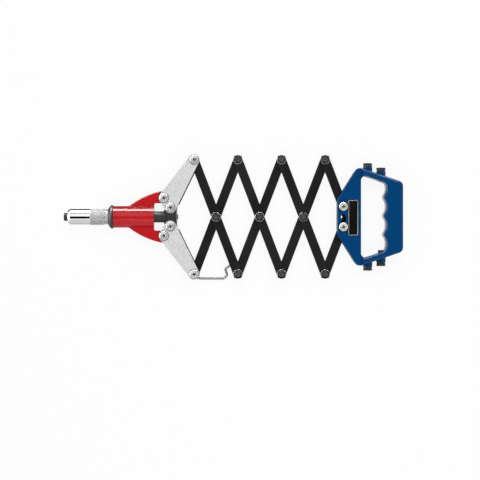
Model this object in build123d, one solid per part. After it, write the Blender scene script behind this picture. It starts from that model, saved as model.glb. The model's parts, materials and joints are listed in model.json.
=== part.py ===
from build123d import *
import math
import os

# Lazy tong riveter lying flat. Millimetres, X along the tool from nose to grip, Y across it, Z up.
# Everything is first drawn about the head pivots: x = 0 is the line through the two head pivots,
# y = 0 is the tool's axis and z = 0 is the plane between the two layers of bars.

# Tongs
BAR_HALF = 70.0
BAR_WIDTH = 10.4
BAR_THICK = 4.0
BAR_STAGES = 3
CATCH_STAGE = 2
REST_ANGLE = 69.14
HALF_BAR_TAIL = 8.0
LAYER_GAP = 0.2

# Pins of the tongs and their retaining clips
PIN_RADIUS = 3.5
PIN_HEAD_RADIUS = 4.6
PIN_HEAD_THICK = 2.0
PIN_END_STAND = 2.1
PIN_END_CHAMFER = 0.5
GROOVE_DEPTH = 0.6
CLIP_RADIUS = 5.4
CLIP_THICK = 0.8
CLIP_GROOVE_ROOM = 0.1
SNAP_RING_GAP = 1.4
CLIP_MOUTH = 5.6
CLIP_EAR = 1.6
CATCH_RADIUS = 2.5
CATCH_STAND = 2.4

# Running and seating clearances
RUN_FIT = 0.05
SEAT_GAP = 0.05
STROKE_GAP = 0.3

# Head arms
EAR_OFFSET = 21.55
ARM_REACH = 34.5
CRANK_X = 7.4
CRANK_Y = 10.88
CHEEK_THICK = 3.0
CHEEK_R_HEAD = 6.0
CHEEK_R_CRANK = 6.5
CHEEK_R_TONG = 6.2
SPACER_PROUD = 0.85
SPACER_BACK = 2.0
SPACER_CRANK_ROOM = 10.2
SPACER_FULL_REACH = 15.0

# Screws of the head arms
ARM_SCREW_RADIUS = 2.5
ARM_HEAD_RADIUS = 5.2
ARM_HEAD_RIM = 1.1
ARM_HEAD_DOME = 1.5
ARM_NUT_WIDTH = 8.0
ARM_NUT_THICK = 2.8
SCREW_END_STAND = 0.5
RECESS_SPAN = 5.2
RECESS_WIDTH = 1.2
RECESS_DEPTH = 1.5

# Head casting
BARREL_RADIUS = 12.4
BARREL_FRONT = -58.1
BARREL_STEP_X = -40.5
BARREL_STEP = 0.35
BARREL_REAR = -11.3
EAR_THICK = 8.2
EAR_RADIUS = 7.9
EAR_CROWN_X = -2.4
EAR_CROWN_Y = 29.6
EAR_MID_X = -15.5
EAR_MID_Y = 25.9
EAR_UNDERSIDE = 15.6
EAR_NOTCH_RADIUS = 2.0
EAR_EDGE = 0.9
GUIDE_BORE_FRONT = -36.0
DRAW_BORE_RADIUS = 5.0

# Nose sleeve, lock ring and fitted nosepiece
SLEEVE_RADIUS = 9.1
SLEEVE_FRONT = -109.7
SLEEVE_CHAMFER = 1.6
SLEEVE_CHAMFER_RUN = 2.4
KNURL_FRONT = -85.2
KNURL_REAR = -70.3
KNURL_SINK = 0.15
SLEEVE_NECK_RADIUS = 8.5
SLEEVE_SHANK_RADIUS = 8.0
SLEEVE_SHANK_REAR = -50.0
SLEEVE_BORE_RADIUS = 6.5
SLEEVE_WALL = 6.2
TOMMY_HOLE_RADIUS = 0.9
TOMMY_HOLE_DEPTH = 1.2
LOCK_RING_RADIUS = 13.5
LOCK_RING_LENGTH = 5.4
LOCK_RING_BEVEL = 3.6
LOCK_RING_BEVEL_RUN = 2.9
LOCK_RING_EDGE = 0.6
NOSE_HEAD_RADIUS = 4.6
NOSE_HEAD_LENGTH = 4.9
NOSE_COLLAR_LENGTH = 1.1
NOSE_COLLAR_STEP = 0.5
NOSE_SHANK_RADIUS = 3.5
NOSE_SHANK_LENGTH = 8.2
NOSE_TAPER_LENGTH = 2.7
NOSE_TAPER_RADIUS = 2.5
MANDREL_BORE_RADIUS = 1.65

# Crosshead and the draw gear inside the nose
NECK_RADIUS = 6.4
NECK_LENGTH = 24.0
BLOCK_FRONT = -0.1
BLOCK_REAR = 15.0
BLOCK_HALF_WIDTH = 13.2
LUG_HALF_WIDTH = 8.0
CRANK_SLOT_PLAY = 0.8
CRANK_SLOT_INNER = 5.4
BLOCK_EDGE = 0.6
ROD_RADIUS = 4.0
ROD_TAIL_RADIUS = 2.9
ROD_TAIL_STAND = 1.1
CASE_FRONT = -93.9
CASE_LENGTH = 28.0
CASE_PLAY = 0.2
CASE_MOUTH_RADIUS = 3.9
CASE_CONE_LENGTH = 14.0
CASE_CONE_RADIUS = 5.2
ROD_SEAT_LENGTH = 6.0
JAW_INSET = 4.1
JAW_LENGTH = 9.6
JAW_BORE_RADIUS = 1.3
JAW_GAP = 0.5
JAW_COUNT = 3
PUSHER_LENGTH = 4.0
PUSHER_BORE_RADIUS = 2.0
SPRING_WIRE = 0.9
SPRING_RADIUS = 3.6
SPRING_TURNS = 3

# Handle casting, measured from the line of its two screws
FORK_FRONT = -7.0
FORK_FRONT_HALF = 20.2
SHOULDER_X = 16.2
SHOULDER_Y = 57.0
GRIP_REAR = 67.8
OUTLINE_ROUND = 6.5
FORK_CORNER_ROUND = 3.0
FORK_HALF_THICK = 9.5
FORK_EDGE = 1.2
GRIP_HALF_THICK = 13.5
GRIP_EDGE = 3.2
GRIP_EDGE_SHARE = 0.44
POCKET_HALF = 4.3
POCKET_REAR = 13.0
WINDOW_FRONT = 20.0
BRIDGE_FRONT_WALL = 7.3
WINDOW_REAR = 48.7
BRIDGE_REAR_WALL = 7.8
WINDOW_ROUND = 5.0
FINGER_PITCH = 21.3
FINGER_DEPTH = 4.1
FINGER_COUNT = 4
FINGER_END_CUT = 4.4
FINGER_CENTRE_Y = 1.3
FINGER_CUSP_ROUND = 4.0
GRIP_STEP = 1.5
GRIP_OVERLAP = 1.0

# Handle screws, slot and nameplate
SCREW_HALF_SPACING = 11.6
HANDLE_SCREW_RADIUS = 2.7
HANDLE_HEAD_RADIUS = 5.2
HANDLE_HEAD_RIM = 1.0
HANDLE_HEAD_DOME = 1.9
HANDLE_NUT_WIDTH = 9.0
HANDLE_NUT_THICK = 2.9
SLOT_TOP = 3.1
SLOT_PLAY = 0.15
PLATE_FRONT = 5.5
PLATE_REAR = 16.8
PLATE_HALF = 20.2
PLATE_CENTRE_Y = -1.2
PLATE_THICK = 0.8
PLATE_CORNER = 1.5
PLATE_RIM = 0.9
PLATE_RIM_RISE = 0.3

# Spare nosepieces in their bosses
SPARE_X = (28.2, 43.4)
SPARE_HEAD_RADIUS = 5.2
SPARE_HEAD_LENGTH = 4.2
SPARE_SHANK_LENGTHS = (9.0, 9.0, 9.0, 11.5)
BOSS_RADIUS = 5.4
BOSS_RISE = 4.3
BOSS_SINK = 3.0
SPARE_BORES = (1.25, 2.05, 2.45, 3.0)

# Wire hook that holds the tongs folded
WIRE_RADIUS = 1.25
EYE_PLAY = 0.3
HOOK_LEAVE_X = 7.0
HOOK_DROP = 5.2
HOOK_REACH = 34.0
HOOK_BEND_Y = 1.2
HOOK_CRANK_X = 36.4
HOOK_CRANK_Y = 5.6
HOOK_TIP_X = 42.2
HOOK_TIP_Y = 11.0
HOOK_BEND_RADIUS = 1.9


# Places that follow from the sizes

def on_circle(centre, radius, degrees):
    """The point at this angle on a circle in the XY plane."""
    turn = math.radians(degrees)
    return (centre[0] + radius * math.cos(turn), centre[1] + radius * math.sin(turn))


OUTER_Y = BAR_HALF * math.sin(math.radians(REST_ANGLE))
HALF_PITCH = BAR_HALF * math.cos(math.radians(REST_ANGLE))
LAYER_NEAR = LAYER_GAP / 2
STACK_HALF = LAYER_NEAR + BAR_THICK
CHEEK_INNER = STACK_HALF + LAYER_GAP
CHEEK_OUTER = CHEEK_INNER + CHEEK_THICK
LAST_PIVOT_X = ARM_REACH + 2 * BAR_STAGES * HALF_PITCH
HALF_BAR_REACH = (OUTER_Y - SCREW_HALF_SPACING) / math.sin(math.radians(REST_ANGLE))
SCREW_LINE_X = LAST_PIVOT_X + HALF_BAR_REACH * math.cos(math.radians(REST_ANGLE))
WINDOW_REAR_HALF = FINGER_COUNT * FINGER_PITCH / 2 - FINGER_END_CUT
BRIDGE_SLOPE = (WINDOW_REAR_HALF + BRIDGE_REAR_WALL - SHOULDER_Y) / (WINDOW_REAR - SHOULDER_X)
HOOK_EYE_RADIUS = ARM_SCREW_RADIUS + EYE_PLAY + WIRE_RADIUS
NOSE_TIP = SLEEVE_FRONT - NOSE_HEAD_LENGTH
GRIP_END = SCREW_LINE_X + GRIP_REAR
TO_ROW_FRAME = Location((-(NOSE_TIP + GRIP_END) / 2, 0, GRIP_HALF_THICK))


# Small helpers

def save(name, *solids):
    """Writes one node, moved so that the flat underside is at z = 0 and the length is centred."""
    shape = solids[0] if len(solids) == 1 else Compound(children=list(solids))
    export_step(shape.moved(TO_ROW_FRAME), f"parts/{name}.step")


def disc(centre, radius, low, high):
    """A round slab between two heights."""
    return Pos(centre[0], centre[1], (low + high) / 2) * Cylinder(radius, high - low)


def slab(sketch, low, high):
    """A flat profile made solid between two heights."""
    return Pos(0, 0, low) * extrude(sketch, high - low)


def turned(outline):
    """A solid of revolution about the tool's axis, from (x, radius) corners."""
    profile = make_face(Polyline(*[(x, r) for x, r in outline], close=True))
    return revolve(profile, Axis.X)


def tube(front, rear, outer, inner):
    """A plain tube along the tool's axis."""
    return turned([(front, inner), (rear, inner), (rear, outer), (front, outer)])


def strip(start, end, width):
    """A straight bar outline with round ends about two centres."""
    run = math.hypot(end[0] - start[0], end[1] - start[1])
    angle = math.degrees(math.atan2(end[1] - start[1], end[0] - start[0]))
    middle = ((start[0] + end[0]) / 2, (start[1] + end[1]) / 2)
    return Pos(*middle) * Rot(0, 0, angle) * SlotCenterToCenter(run, width)


def tangent_points(first, second):
    """Where the outer tangent on the right of first to second touches the two circles."""
    (x1, y1, r1), (x2, y2, r2) = first, second
    heading = math.degrees(math.atan2(y2 - y1, x2 - x1))
    lean = math.degrees(math.asin((r1 - r2) / math.hypot(x2 - x1, y2 - y1)))
    side = heading - 90 + lean
    return on_circle((x1, y1), r1, side), on_circle((x2, y2), r2, side)


def rounded_plate(circles):
    """The outline stretched round circles given anticlockwise as (x, y, radius)."""
    count = len(circles)
    sides = [tangent_points(circles[i], circles[(i + 1) % count]) for i in range(count)]
    edges = []
    for i in range(count):
        x, y, radius = circles[i]
        arrive = sides[i - 1][1]
        leave = sides[i][0]
        start = math.degrees(math.atan2(arrive[1] - y, arrive[0] - x))
        sweep = (math.degrees(math.atan2(leave[1] - y, leave[0] - x)) - start) % 360
        edges.append(ThreePointArc(arrive, on_circle((x, y), radius, start + sweep / 2), leave))
        edges.append(Line(*sides[i]))
    return make_face(edges)


def flip(shape):
    """The same piece on the other side of the tool's axis."""
    return mirror(shape, about=Plane.XZ)


def domed_head(centre, base, radius, rim, dome):
    """A pan head with a crowned top and a cross recess, standing on a height."""
    ball = (radius**2 + dome**2) / (2 * dome)
    head = disc(centre, radius, base, base + rim + dome)
    head &= Pos(centre[0], centre[1], base + rim + dome - ball) * Sphere(ball)
    top = base + rim + dome
    for angle in (45, 135):
        slot = Box(RECESS_SPAN, RECESS_WIDTH, 2 * RECESS_DEPTH)
        head -= Pos(centre[0], centre[1], top) * Rot(0, 0, angle) * slot
    return head


def hex_nut(centre, high, width, thick, bore):
    """A six-sided nut hanging below a height."""
    outline = Pos(*centre) * RegularPolygon(width / 2, 6, major_radius=False)
    return slab(outline, high - thick, high) - disc(centre, bore, high - 2 * thick, high + thick)


# Bars, pins and clips of the tongs

def pivot_x(index):
    """The x of the outer pivots, counted from 0 at the arms."""
    return ARM_REACH + 2 * index * HALF_PITCH


def bar_layer(kind):
    """The heights of a bar: those that fall to the right lie above those that rise."""
    return (LAYER_NEAR, STACK_HALF) if kind == "a" else (-STACK_HALF, -LAYER_NEAR)


def full_bar(kind, stage, holes):
    """One bar of an X, with a hole of its own radius at each end and in the middle."""
    rise = -1 if kind == "a" else 1
    start = (pivot_x(stage), -rise * OUTER_Y)
    end = (pivot_x(stage + 1), rise * OUTER_Y)
    middle = (pivot_x(stage) + HALF_PITCH, 0)
    low, high = bar_layer(kind)
    bar = slab(strip(start, end, BAR_WIDTH), low, high)
    for centre, radius in zip((start, middle, end), holes):
        bar -= disc(centre, radius + RUN_FIT, low - 1, high + 1)
    return bar


def half_bar(kind):
    """The last bar of each side, which ends in the handle and runs a little past its screw."""
    rise = -1 if kind == "a" else 1
    start = (pivot_x(BAR_STAGES), -rise * OUTER_Y)
    screw = (SCREW_LINE_X, -rise * SCREW_HALF_SPACING)
    end = on_circle(screw, HALF_BAR_TAIL, rise * REST_ANGLE)
    low, high = bar_layer(kind)
    bar = slab(strip(start, end, BAR_WIDTH), low, high)
    bar -= disc(start, PIN_RADIUS + RUN_FIT, low - 1, high + 1)
    bar -= disc(screw, HANDLE_SCREW_RADIUS + RUN_FIT, low - 1, high + 1)
    return bar


CLIP_LOW = STACK_HALF + SEAT_GAP
CLIP_HIGH = CLIP_LOW + CLIP_THICK


def tong_pin(centre):
    """A headed pin, pushed up from below, with a groove for its clip."""
    top = STACK_HALF + PIN_END_STAND
    bottom = -STACK_HALF - SEAT_GAP
    pin = disc(centre, PIN_RADIUS, bottom - PIN_HEAD_THICK / 2, top)
    pin = chamfer(pin.edges().group_by(Axis.Z)[-1], PIN_END_CHAMFER)
    head = disc(centre, PIN_HEAD_RADIUS, bottom - PIN_HEAD_THICK, bottom)
    head = chamfer(head.edges().group_by(Axis.Z)[0], PIN_END_CHAMFER)
    room = disc(centre, PIN_RADIUS + 1, CLIP_LOW - SEAT_GAP, CLIP_HIGH + SEAT_GAP)
    room -= disc(centre, PIN_RADIUS - GROOVE_DEPTH, CLIP_LOW - 1, CLIP_HIGH + 1)
    return pin + head - room


def catch_pin(centre):
    """The pin that the wire hook catches when the tongs are folded: its head has a stub below."""
    head_base = -STACK_HALF - SEAT_GAP - PIN_HEAD_THICK
    stub = disc(centre, CATCH_RADIUS, head_base - CATCH_STAND, head_base + PIN_HEAD_THICK / 2)
    stub = chamfer(stub.edges().group_by(Axis.Z)[0], PIN_END_CHAMFER)
    return tong_pin(centre) + stub


def snap_ring(centre):
    """A ring clip with a narrow gap, used on the middle pins."""
    inner = PIN_RADIUS - GROOVE_DEPTH + CLIP_GROOVE_ROOM
    ring = disc(centre, CLIP_RADIUS, CLIP_LOW, CLIP_HIGH)
    ring -= disc(centre, inner, CLIP_LOW - 1, CLIP_HIGH + 1)
    gap = Box(SNAP_RING_GAP, 2 * CLIP_RADIUS, 4 * CLIP_THICK)
    return ring - Pos(centre[0], centre[1] + CLIP_RADIUS, CLIP_LOW) * gap


def open_clip(centre, outward):
    """A clip pushed on from the side, with its mouth and two ears facing out of the tongs."""
    inner = PIN_RADIUS - GROOVE_DEPTH + CLIP_GROOVE_ROOM
    x, y = centre
    ring = disc(centre, CLIP_RADIUS, CLIP_LOW, CLIP_HIGH)
    middle = (CLIP_LOW + CLIP_HIGH) / 2
    for side in (-1, 1):
        place = Pos(x + side * (CLIP_RADIUS - CLIP_EAR / 2), y + outward * CLIP_EAR, middle)
        ring += place * Box(CLIP_EAR, 2 * CLIP_EAR, CLIP_THICK)
    ring -= disc(centre, inner, CLIP_LOW - 1, CLIP_HIGH + 1)
    mouth = Pos(x, y + outward * CLIP_RADIUS, middle) * Box(CLIP_MOUTH, 2 * CLIP_RADIUS, 2 * CLIP_THICK)
    return ring - mouth


def make_tongs():
    """The three X's, the two half bars, and a pin and clip at each of the nine pivots."""
    for stage in range(BAR_STAGES):
        first = ARM_SCREW_RADIUS if stage == 0 else PIN_RADIUS
        for kind in "ab":
            save(f"bar_{kind}{stage + 1}", full_bar(kind, stage, (first, PIN_RADIUS, PIN_RADIUS)))
        middle = (pivot_x(stage) + HALF_PITCH, 0)
        save(f"middle_pin_{stage + 1}", tong_pin(middle))
        save(f"middle_clip_{stage + 1}", snap_ring(middle))
        for side, outward in (("upper", 1), ("lower", -1)):
            outer = (pivot_x(stage + 1), outward * OUTER_Y)
            pin = catch_pin(outer) if side == "lower" and stage + 1 == CATCH_STAGE else tong_pin(outer)
            save(f"{side}_pin_{stage + 1}", pin)
            save(f"{side}_clip_{stage + 1}", open_clip(outer, outward))
    for kind in "ab":
        save(f"half_bar_{kind}", half_bar(kind))


# Head arms

HEAD_PIVOT = (0, EAR_OFFSET)
CRANK_PIVOT = (CRANK_X, EAR_OFFSET - CRANK_Y)
TONG_PIVOT = (ARM_REACH, OUTER_Y)


def arm_outline():
    """The tapered plate round the upper arm's three pivots."""
    crank = (*CRANK_PIVOT, CHEEK_R_CRANK)
    tong = (*TONG_PIVOT, CHEEK_R_TONG)
    head = (*HEAD_PIVOT, CHEEK_R_HEAD)
    return rounded_plate([crank, tong, head])


def arm_cheek(low, high):
    """One of the two plates of the upper arm, drilled for its screws."""
    cheek = slab(arm_outline(), low, high)
    for centre in (HEAD_PIVOT, CRANK_PIVOT, TONG_PIVOT):
        cheek -= disc(centre, ARM_SCREW_RADIUS + RUN_FIT, low - 1, high + 1)
    return cheek


def arm_spacer(full_low, full_high, part_low, part_high):
    """The black bar between the plates: one layer all the way, the other only beside the crank."""
    run_x = TONG_PIVOT[0] - CRANK_PIVOT[0]
    run_y = TONG_PIVOT[1] - CRANK_PIVOT[1]
    run = math.hypot(run_x, run_y)
    heading = math.degrees(math.atan2(run_y, run_x))
    crank_side = CHEEK_R_CRANK + SPACER_PROUD
    tong_side = CHEEK_R_TONG + SPACER_PROUD
    near_corner = on_circle(CRANK_PIVOT, crank_side, heading - 90)
    far_corner = on_circle(TONG_PIVOT, tong_side, heading - 90)
    far_back = on_circle(TONG_PIVOT, SPACER_BACK, heading + 90)
    near_back = on_circle(CRANK_PIVOT, SPACER_BACK, heading + 90)
    body = make_face(Polyline(near_corner, far_corner, far_back, near_back, close=True))
    end = Pos(*TONG_PIVOT) * Circle(CHEEK_R_TONG)
    room = Pos(*CRANK_PIVOT) * Circle(SPACER_CRANK_ROOM)
    full = body + end - room
    reach = Pos(*CRANK_PIVOT) * Circle(SPACER_FULL_REACH)
    part = (body & reach) - room
    spacer = slab(full, full_low, full_high) + slab(part, part_low, part_high)
    return spacer - disc(TONG_PIVOT, ARM_SCREW_RADIUS + RUN_FIT, -CHEEK_INNER, CHEEK_INNER)


def arm_screw(centre, low):
    """A domed screw from the top plate down to a height."""
    base = CHEEK_OUTER + SEAT_GAP
    shank = disc(centre, ARM_SCREW_RADIUS, low, base + ARM_HEAD_RIM / 2)
    return shank + domed_head(centre, base, ARM_HEAD_RADIUS, ARM_HEAD_RIM, ARM_HEAD_DOME)


def arm_nut(centre, high):
    """A nut under the bottom plate."""
    return hex_nut(centre, high, ARM_NUT_WIDTH, ARM_NUT_THICK, ARM_SCREW_RADIUS + RUN_FIT)


def make_arms():
    """The two head arms, each two silver plates, a black spacer, three screws and three nuts."""
    nut_top = -CHEEK_OUTER - SEAT_GAP
    screw_end = nut_top - ARM_NUT_THICK - SCREW_END_STAND
    near = (CHEEK_INNER, CHEEK_OUTER)
    far = (-CHEEK_OUTER, -CHEEK_INNER)
    top_layer = bar_layer("a")
    bottom_layer = bar_layer("b")
    pivots = (HEAD_PIVOT, CRANK_PIVOT, TONG_PIVOT)
    save("upper_arm_top_plate", arm_cheek(*near))
    save("upper_arm_bottom_plate", arm_cheek(*far))
    joined = (bottom_layer[1], top_layer[1])
    save("upper_arm_spacer", arm_spacer(*bottom_layer, *joined))
    save("upper_arm_screws", *[arm_screw(centre, screw_end) for centre in pivots])
    save("upper_arm_nuts", *[arm_nut(centre, nut_top) for centre in pivots])
    save("lower_arm_top_plate", flip(arm_cheek(*near)))
    save("lower_arm_bottom_plate", flip(arm_cheek(*far)))
    joined = (bottom_layer[0], top_layer[0])
    save("lower_arm_spacer", flip(arm_spacer(*top_layer, *joined)))
    # The lower tong pivot is in three lengths: one in each plate and one in the bar's eye.
    whole = [flip(arm_screw(centre, screw_end)) for centre in pivots[:2]]
    save("lower_arm_screws", *whole, flip(arm_screw(TONG_PIVOT, top_layer[0])))
    stud_nut_top = nut_top - 2 * WIRE_RADIUS - SEAT_GAP
    stud_end = stud_nut_top - ARM_NUT_THICK - SCREW_END_STAND
    stud = disc(TONG_PIVOT, ARM_SCREW_RADIUS, stud_end, -CHEEK_INNER)
    nuts = [flip(arm_nut(centre, nut_top)) for centre in pivots[:2]]
    save("lower_arm_nuts", *nuts, flip(arm_nut(TONG_PIVOT, stud_nut_top)))
    save("lower_arm_stud", flip(stud))
    save("lower_bar_eye_pin", flip(disc(TONG_PIVOT, ARM_SCREW_RADIUS, *bottom_layer)))


# Wire hook

def hook_route(z):
    """The bent wire beyond its eye, as straight runs joined by small arcs."""
    x, y = TONG_PIVOT[0], -OUTER_Y
    points = [
        (x, y - HOOK_EYE_RADIUS, z),
        (x + HOOK_LEAVE_X, y - HOOK_DROP, z),
        (x + HOOK_REACH, y - HOOK_DROP, z),
        (x + HOOK_CRANK_X + WIRE_RADIUS, y - HOOK_BEND_Y, z),
        (x + HOOK_CRANK_X - WIRE_RADIUS, y + HOOK_CRANK_Y, z),
        (x + HOOK_TIP_X, y + HOOK_TIP_Y, z),
    ]
    return FilletPolyline(*points, radius=HOOK_BEND_RADIUS)


def make_hook():
    """The eye turns on the stud under the lower arm, and the wire leaves it level."""
    z = -CHEEK_OUTER - 2 * SEAT_GAP - WIRE_RADIUS
    eye = Pos(TONG_PIVOT[0], -OUTER_Y, z) * Torus(HOOK_EYE_RADIUS, WIRE_RADIUS)
    route = hook_route(z)
    section = Plane(origin=route @ 0, z_dir=route % 0) * Circle(WIRE_RADIUS)
    wire = sweep(section, path=route)
    tip = Pos(*(route @ 1)) * Sphere(WIRE_RADIUS)
    save("wire_hook", eye + wire + tip)


# Head casting, sleeve, ring and nosepiece

def ear_outline():
    """The flat fin that carries the upper head pivot, without its round end."""
    root = BARREL_RADIUS - BARREL_STEP
    front = (BARREL_STEP_X, root)
    crown = (EAR_CROWN_X, EAR_CROWN_Y)
    rise = ThreePointArc(front, (EAR_MID_X, EAR_MID_Y), crown)
    rest = Polyline(crown, (0, EAR_OFFSET), (0, 0), (BARREL_STEP_X, 0), front)
    fin = make_face([rise, rest]) + Pos(*HEAD_PIVOT) * Circle(EAR_RADIUS)
    width = EAR_RADIUS - BARREL_REAR
    notch = Pos((BARREL_REAR + EAR_RADIUS) / 2, EAR_UNDERSIDE / 2) * Rectangle(width, EAR_UNDERSIDE)
    corner = notch.vertices().sort_by(Axis.X)[:2].sort_by(Axis.Y)[-1:]
    return fin - fillet(corner, EAR_NOTCH_RADIUS)


def make_head_casting():
    """The red barrel with its two ears, bored for the sleeve and the crosshead's neck."""
    rear_radius = BARREL_RADIUS - BARREL_STEP
    barrel = tube(BARREL_FRONT, BARREL_REAR, rear_radius, 0)
    collar = tube(BARREL_FRONT, BARREL_STEP_X, BARREL_RADIUS, 0)
    collar = chamfer(collar.edges().filter_by(GeomType.CIRCLE), BARREL_STEP)
    ear = slab(ear_outline(), -EAR_THICK / 2, EAR_THICK / 2)
    ear = chamfer(ear.faces().filter_by(Axis.Z).edges(), EAR_EDGE)
    casting = barrel + collar + ear + flip(ear)
    casting -= tube(BARREL_FRONT - 1, SLEEVE_SHANK_REAR + STROKE_GAP, SLEEVE_SHANK_RADIUS + RUN_FIT, 0)
    casting -= tube(SLEEVE_SHANK_REAR, GUIDE_BORE_FRONT + 1, DRAW_BORE_RADIUS, 0)
    casting -= tube(GUIDE_BORE_FRONT, BARREL_REAR + 1, NECK_RADIUS + RUN_FIT, 0)
    hole = disc(HEAD_PIVOT, ARM_SCREW_RADIUS + RUN_FIT, -EAR_THICK, EAR_THICK)
    save("head_casting", casting - hole - flip(hole))


def make_nose():
    """The chrome sleeve, the dark lock ring behind it and the nosepiece screwed into its front."""
    shoulder = BARREL_FRONT - SEAT_GAP - LOCK_RING_LENGTH - SEAT_GAP
    bore_front = SLEEVE_FRONT + SLEEVE_WALL
    knurl = SLEEVE_RADIUS - KNURL_SINK
    sleeve = turned([
        (SLEEVE_FRONT, NOSE_SHANK_RADIUS + RUN_FIT),
        (SLEEVE_FRONT, SLEEVE_RADIUS - SLEEVE_CHAMFER),
        (SLEEVE_FRONT + SLEEVE_CHAMFER_RUN, SLEEVE_RADIUS),
        (KNURL_FRONT, SLEEVE_RADIUS),
        (KNURL_FRONT, knurl),
        (KNURL_REAR, knurl),
        (KNURL_REAR, SLEEVE_NECK_RADIUS),
        (shoulder, SLEEVE_NECK_RADIUS),
        (shoulder, SLEEVE_SHANK_RADIUS),
        (SLEEVE_SHANK_REAR, SLEEVE_SHANK_RADIUS),
        (SLEEVE_SHANK_REAR, SLEEVE_BORE_RADIUS),
        (bore_front, SLEEVE_BORE_RADIUS),
        (bore_front, NOSE_SHANK_RADIUS + RUN_FIT),
    ])
    hole_x = (KNURL_REAR + shoulder) / 2
    for angle in (0, 90, 180, 270):
        hole = Pos(hole_x, 0, SLEEVE_NECK_RADIUS) * Cylinder(TOMMY_HOLE_RADIUS, 2 * TOMMY_HOLE_DEPTH)
        sleeve -= hole.rotate(Axis.X, angle)
    save("nose_sleeve", sleeve)
    ring_front = shoulder + SEAT_GAP
    ring_rear = ring_front + LOCK_RING_LENGTH
    ring = turned([
        (ring_front, SLEEVE_SHANK_RADIUS + RUN_FIT),
        (ring_front, LOCK_RING_RADIUS - LOCK_RING_BEVEL),
        (ring_front + LOCK_RING_BEVEL_RUN, LOCK_RING_RADIUS),
        (ring_rear - LOCK_RING_EDGE, LOCK_RING_RADIUS),
        (ring_rear, LOCK_RING_RADIUS - LOCK_RING_EDGE),
        (ring_rear, SLEEVE_SHANK_RADIUS + RUN_FIT),
    ])
    save("lock_ring", ring)
    piece = nosepiece(NOSE_HEAD_RADIUS, NOSE_HEAD_LENGTH, NOSE_SHANK_LENGTH, MANDREL_BORE_RADIUS)
    save("fitted_nosepiece", Pos(SLEEVE_FRONT - SEAT_GAP, 0, 0) * piece)


def nosepiece(head_radius, head_length, shank_length, bore):
    """A nosepiece along X: its head ends at x = 0 and its shank and taper follow."""
    collar = head_radius - NOSE_COLLAR_STEP
    return turned([
        (-head_length + SEAT_GAP, bore),
        (-head_length + SEAT_GAP, collar - NOSE_COLLAR_STEP),
        (-head_length + SEAT_GAP + NOSE_COLLAR_STEP, head_radius),
        (-NOSE_COLLAR_LENGTH, head_radius),
        (-NOSE_COLLAR_LENGTH, collar),
        (0, collar),
        (0, NOSE_SHANK_RADIUS),
        (shank_length, NOSE_SHANK_RADIUS),
        (shank_length + NOSE_TAPER_LENGTH, max(NOSE_TAPER_RADIUS, bore + 4 * SEAT_GAP)),
        (shank_length + NOSE_TAPER_LENGTH, bore),
    ])


# Crosshead and draw gear

def make_crosshead():
    """The black block that the arms' cranks push and pull, with its neck in the barrel."""
    block_length = BLOCK_REAR - BLOCK_FRONT
    middle = (BLOCK_FRONT + BLOCK_REAR) / 2
    block = Pos(middle, 0, 0) * Box(block_length, 2 * BLOCK_HALF_WIDTH, EAR_THICK)
    slot_half = ARM_SCREW_RADIUS + CRANK_SLOT_PLAY
    slot_width = BLOCK_HALF_WIDTH
    slot = Pos(CRANK_X, CRANK_SLOT_INNER + slot_width / 2, 0) * Box(2 * slot_half, slot_width, 2 * EAR_THICK)
    lug_end = CRANK_X - slot_half
    lug_cut_length = lug_end - BLOCK_FRONT + 1
    lug_cut = Box(lug_cut_length, slot_width, 2 * EAR_THICK)
    lug_cut = Pos(lug_end - lug_cut_length / 2, LUG_HALF_WIDTH + slot_width / 2, 0) * lug_cut
    for cut in (slot, lug_cut):
        block -= cut
        block -= flip(cut)
    block = chamfer(block.faces().filter_by(Axis.Z).edges(), BLOCK_EDGE)
    neck = tube(BLOCK_FRONT - NECK_LENGTH, BLOCK_FRONT + 1, NECK_RADIUS, 0)
    head = block + neck
    head -= tube(BLOCK_FRONT - NECK_LENGTH - 1, BLOCK_REAR + 1, ROD_TAIL_RADIUS + RUN_FIT, 0)
    save("crosshead", head)


def jaw_cone_radius(x):
    """The case's inner cone at x."""
    share = (x - CASE_FRONT) / CASE_CONE_LENGTH
    return CASE_MOUTH_RADIUS + share * (CASE_CONE_RADIUS - CASE_MOUTH_RADIUS)


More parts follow.
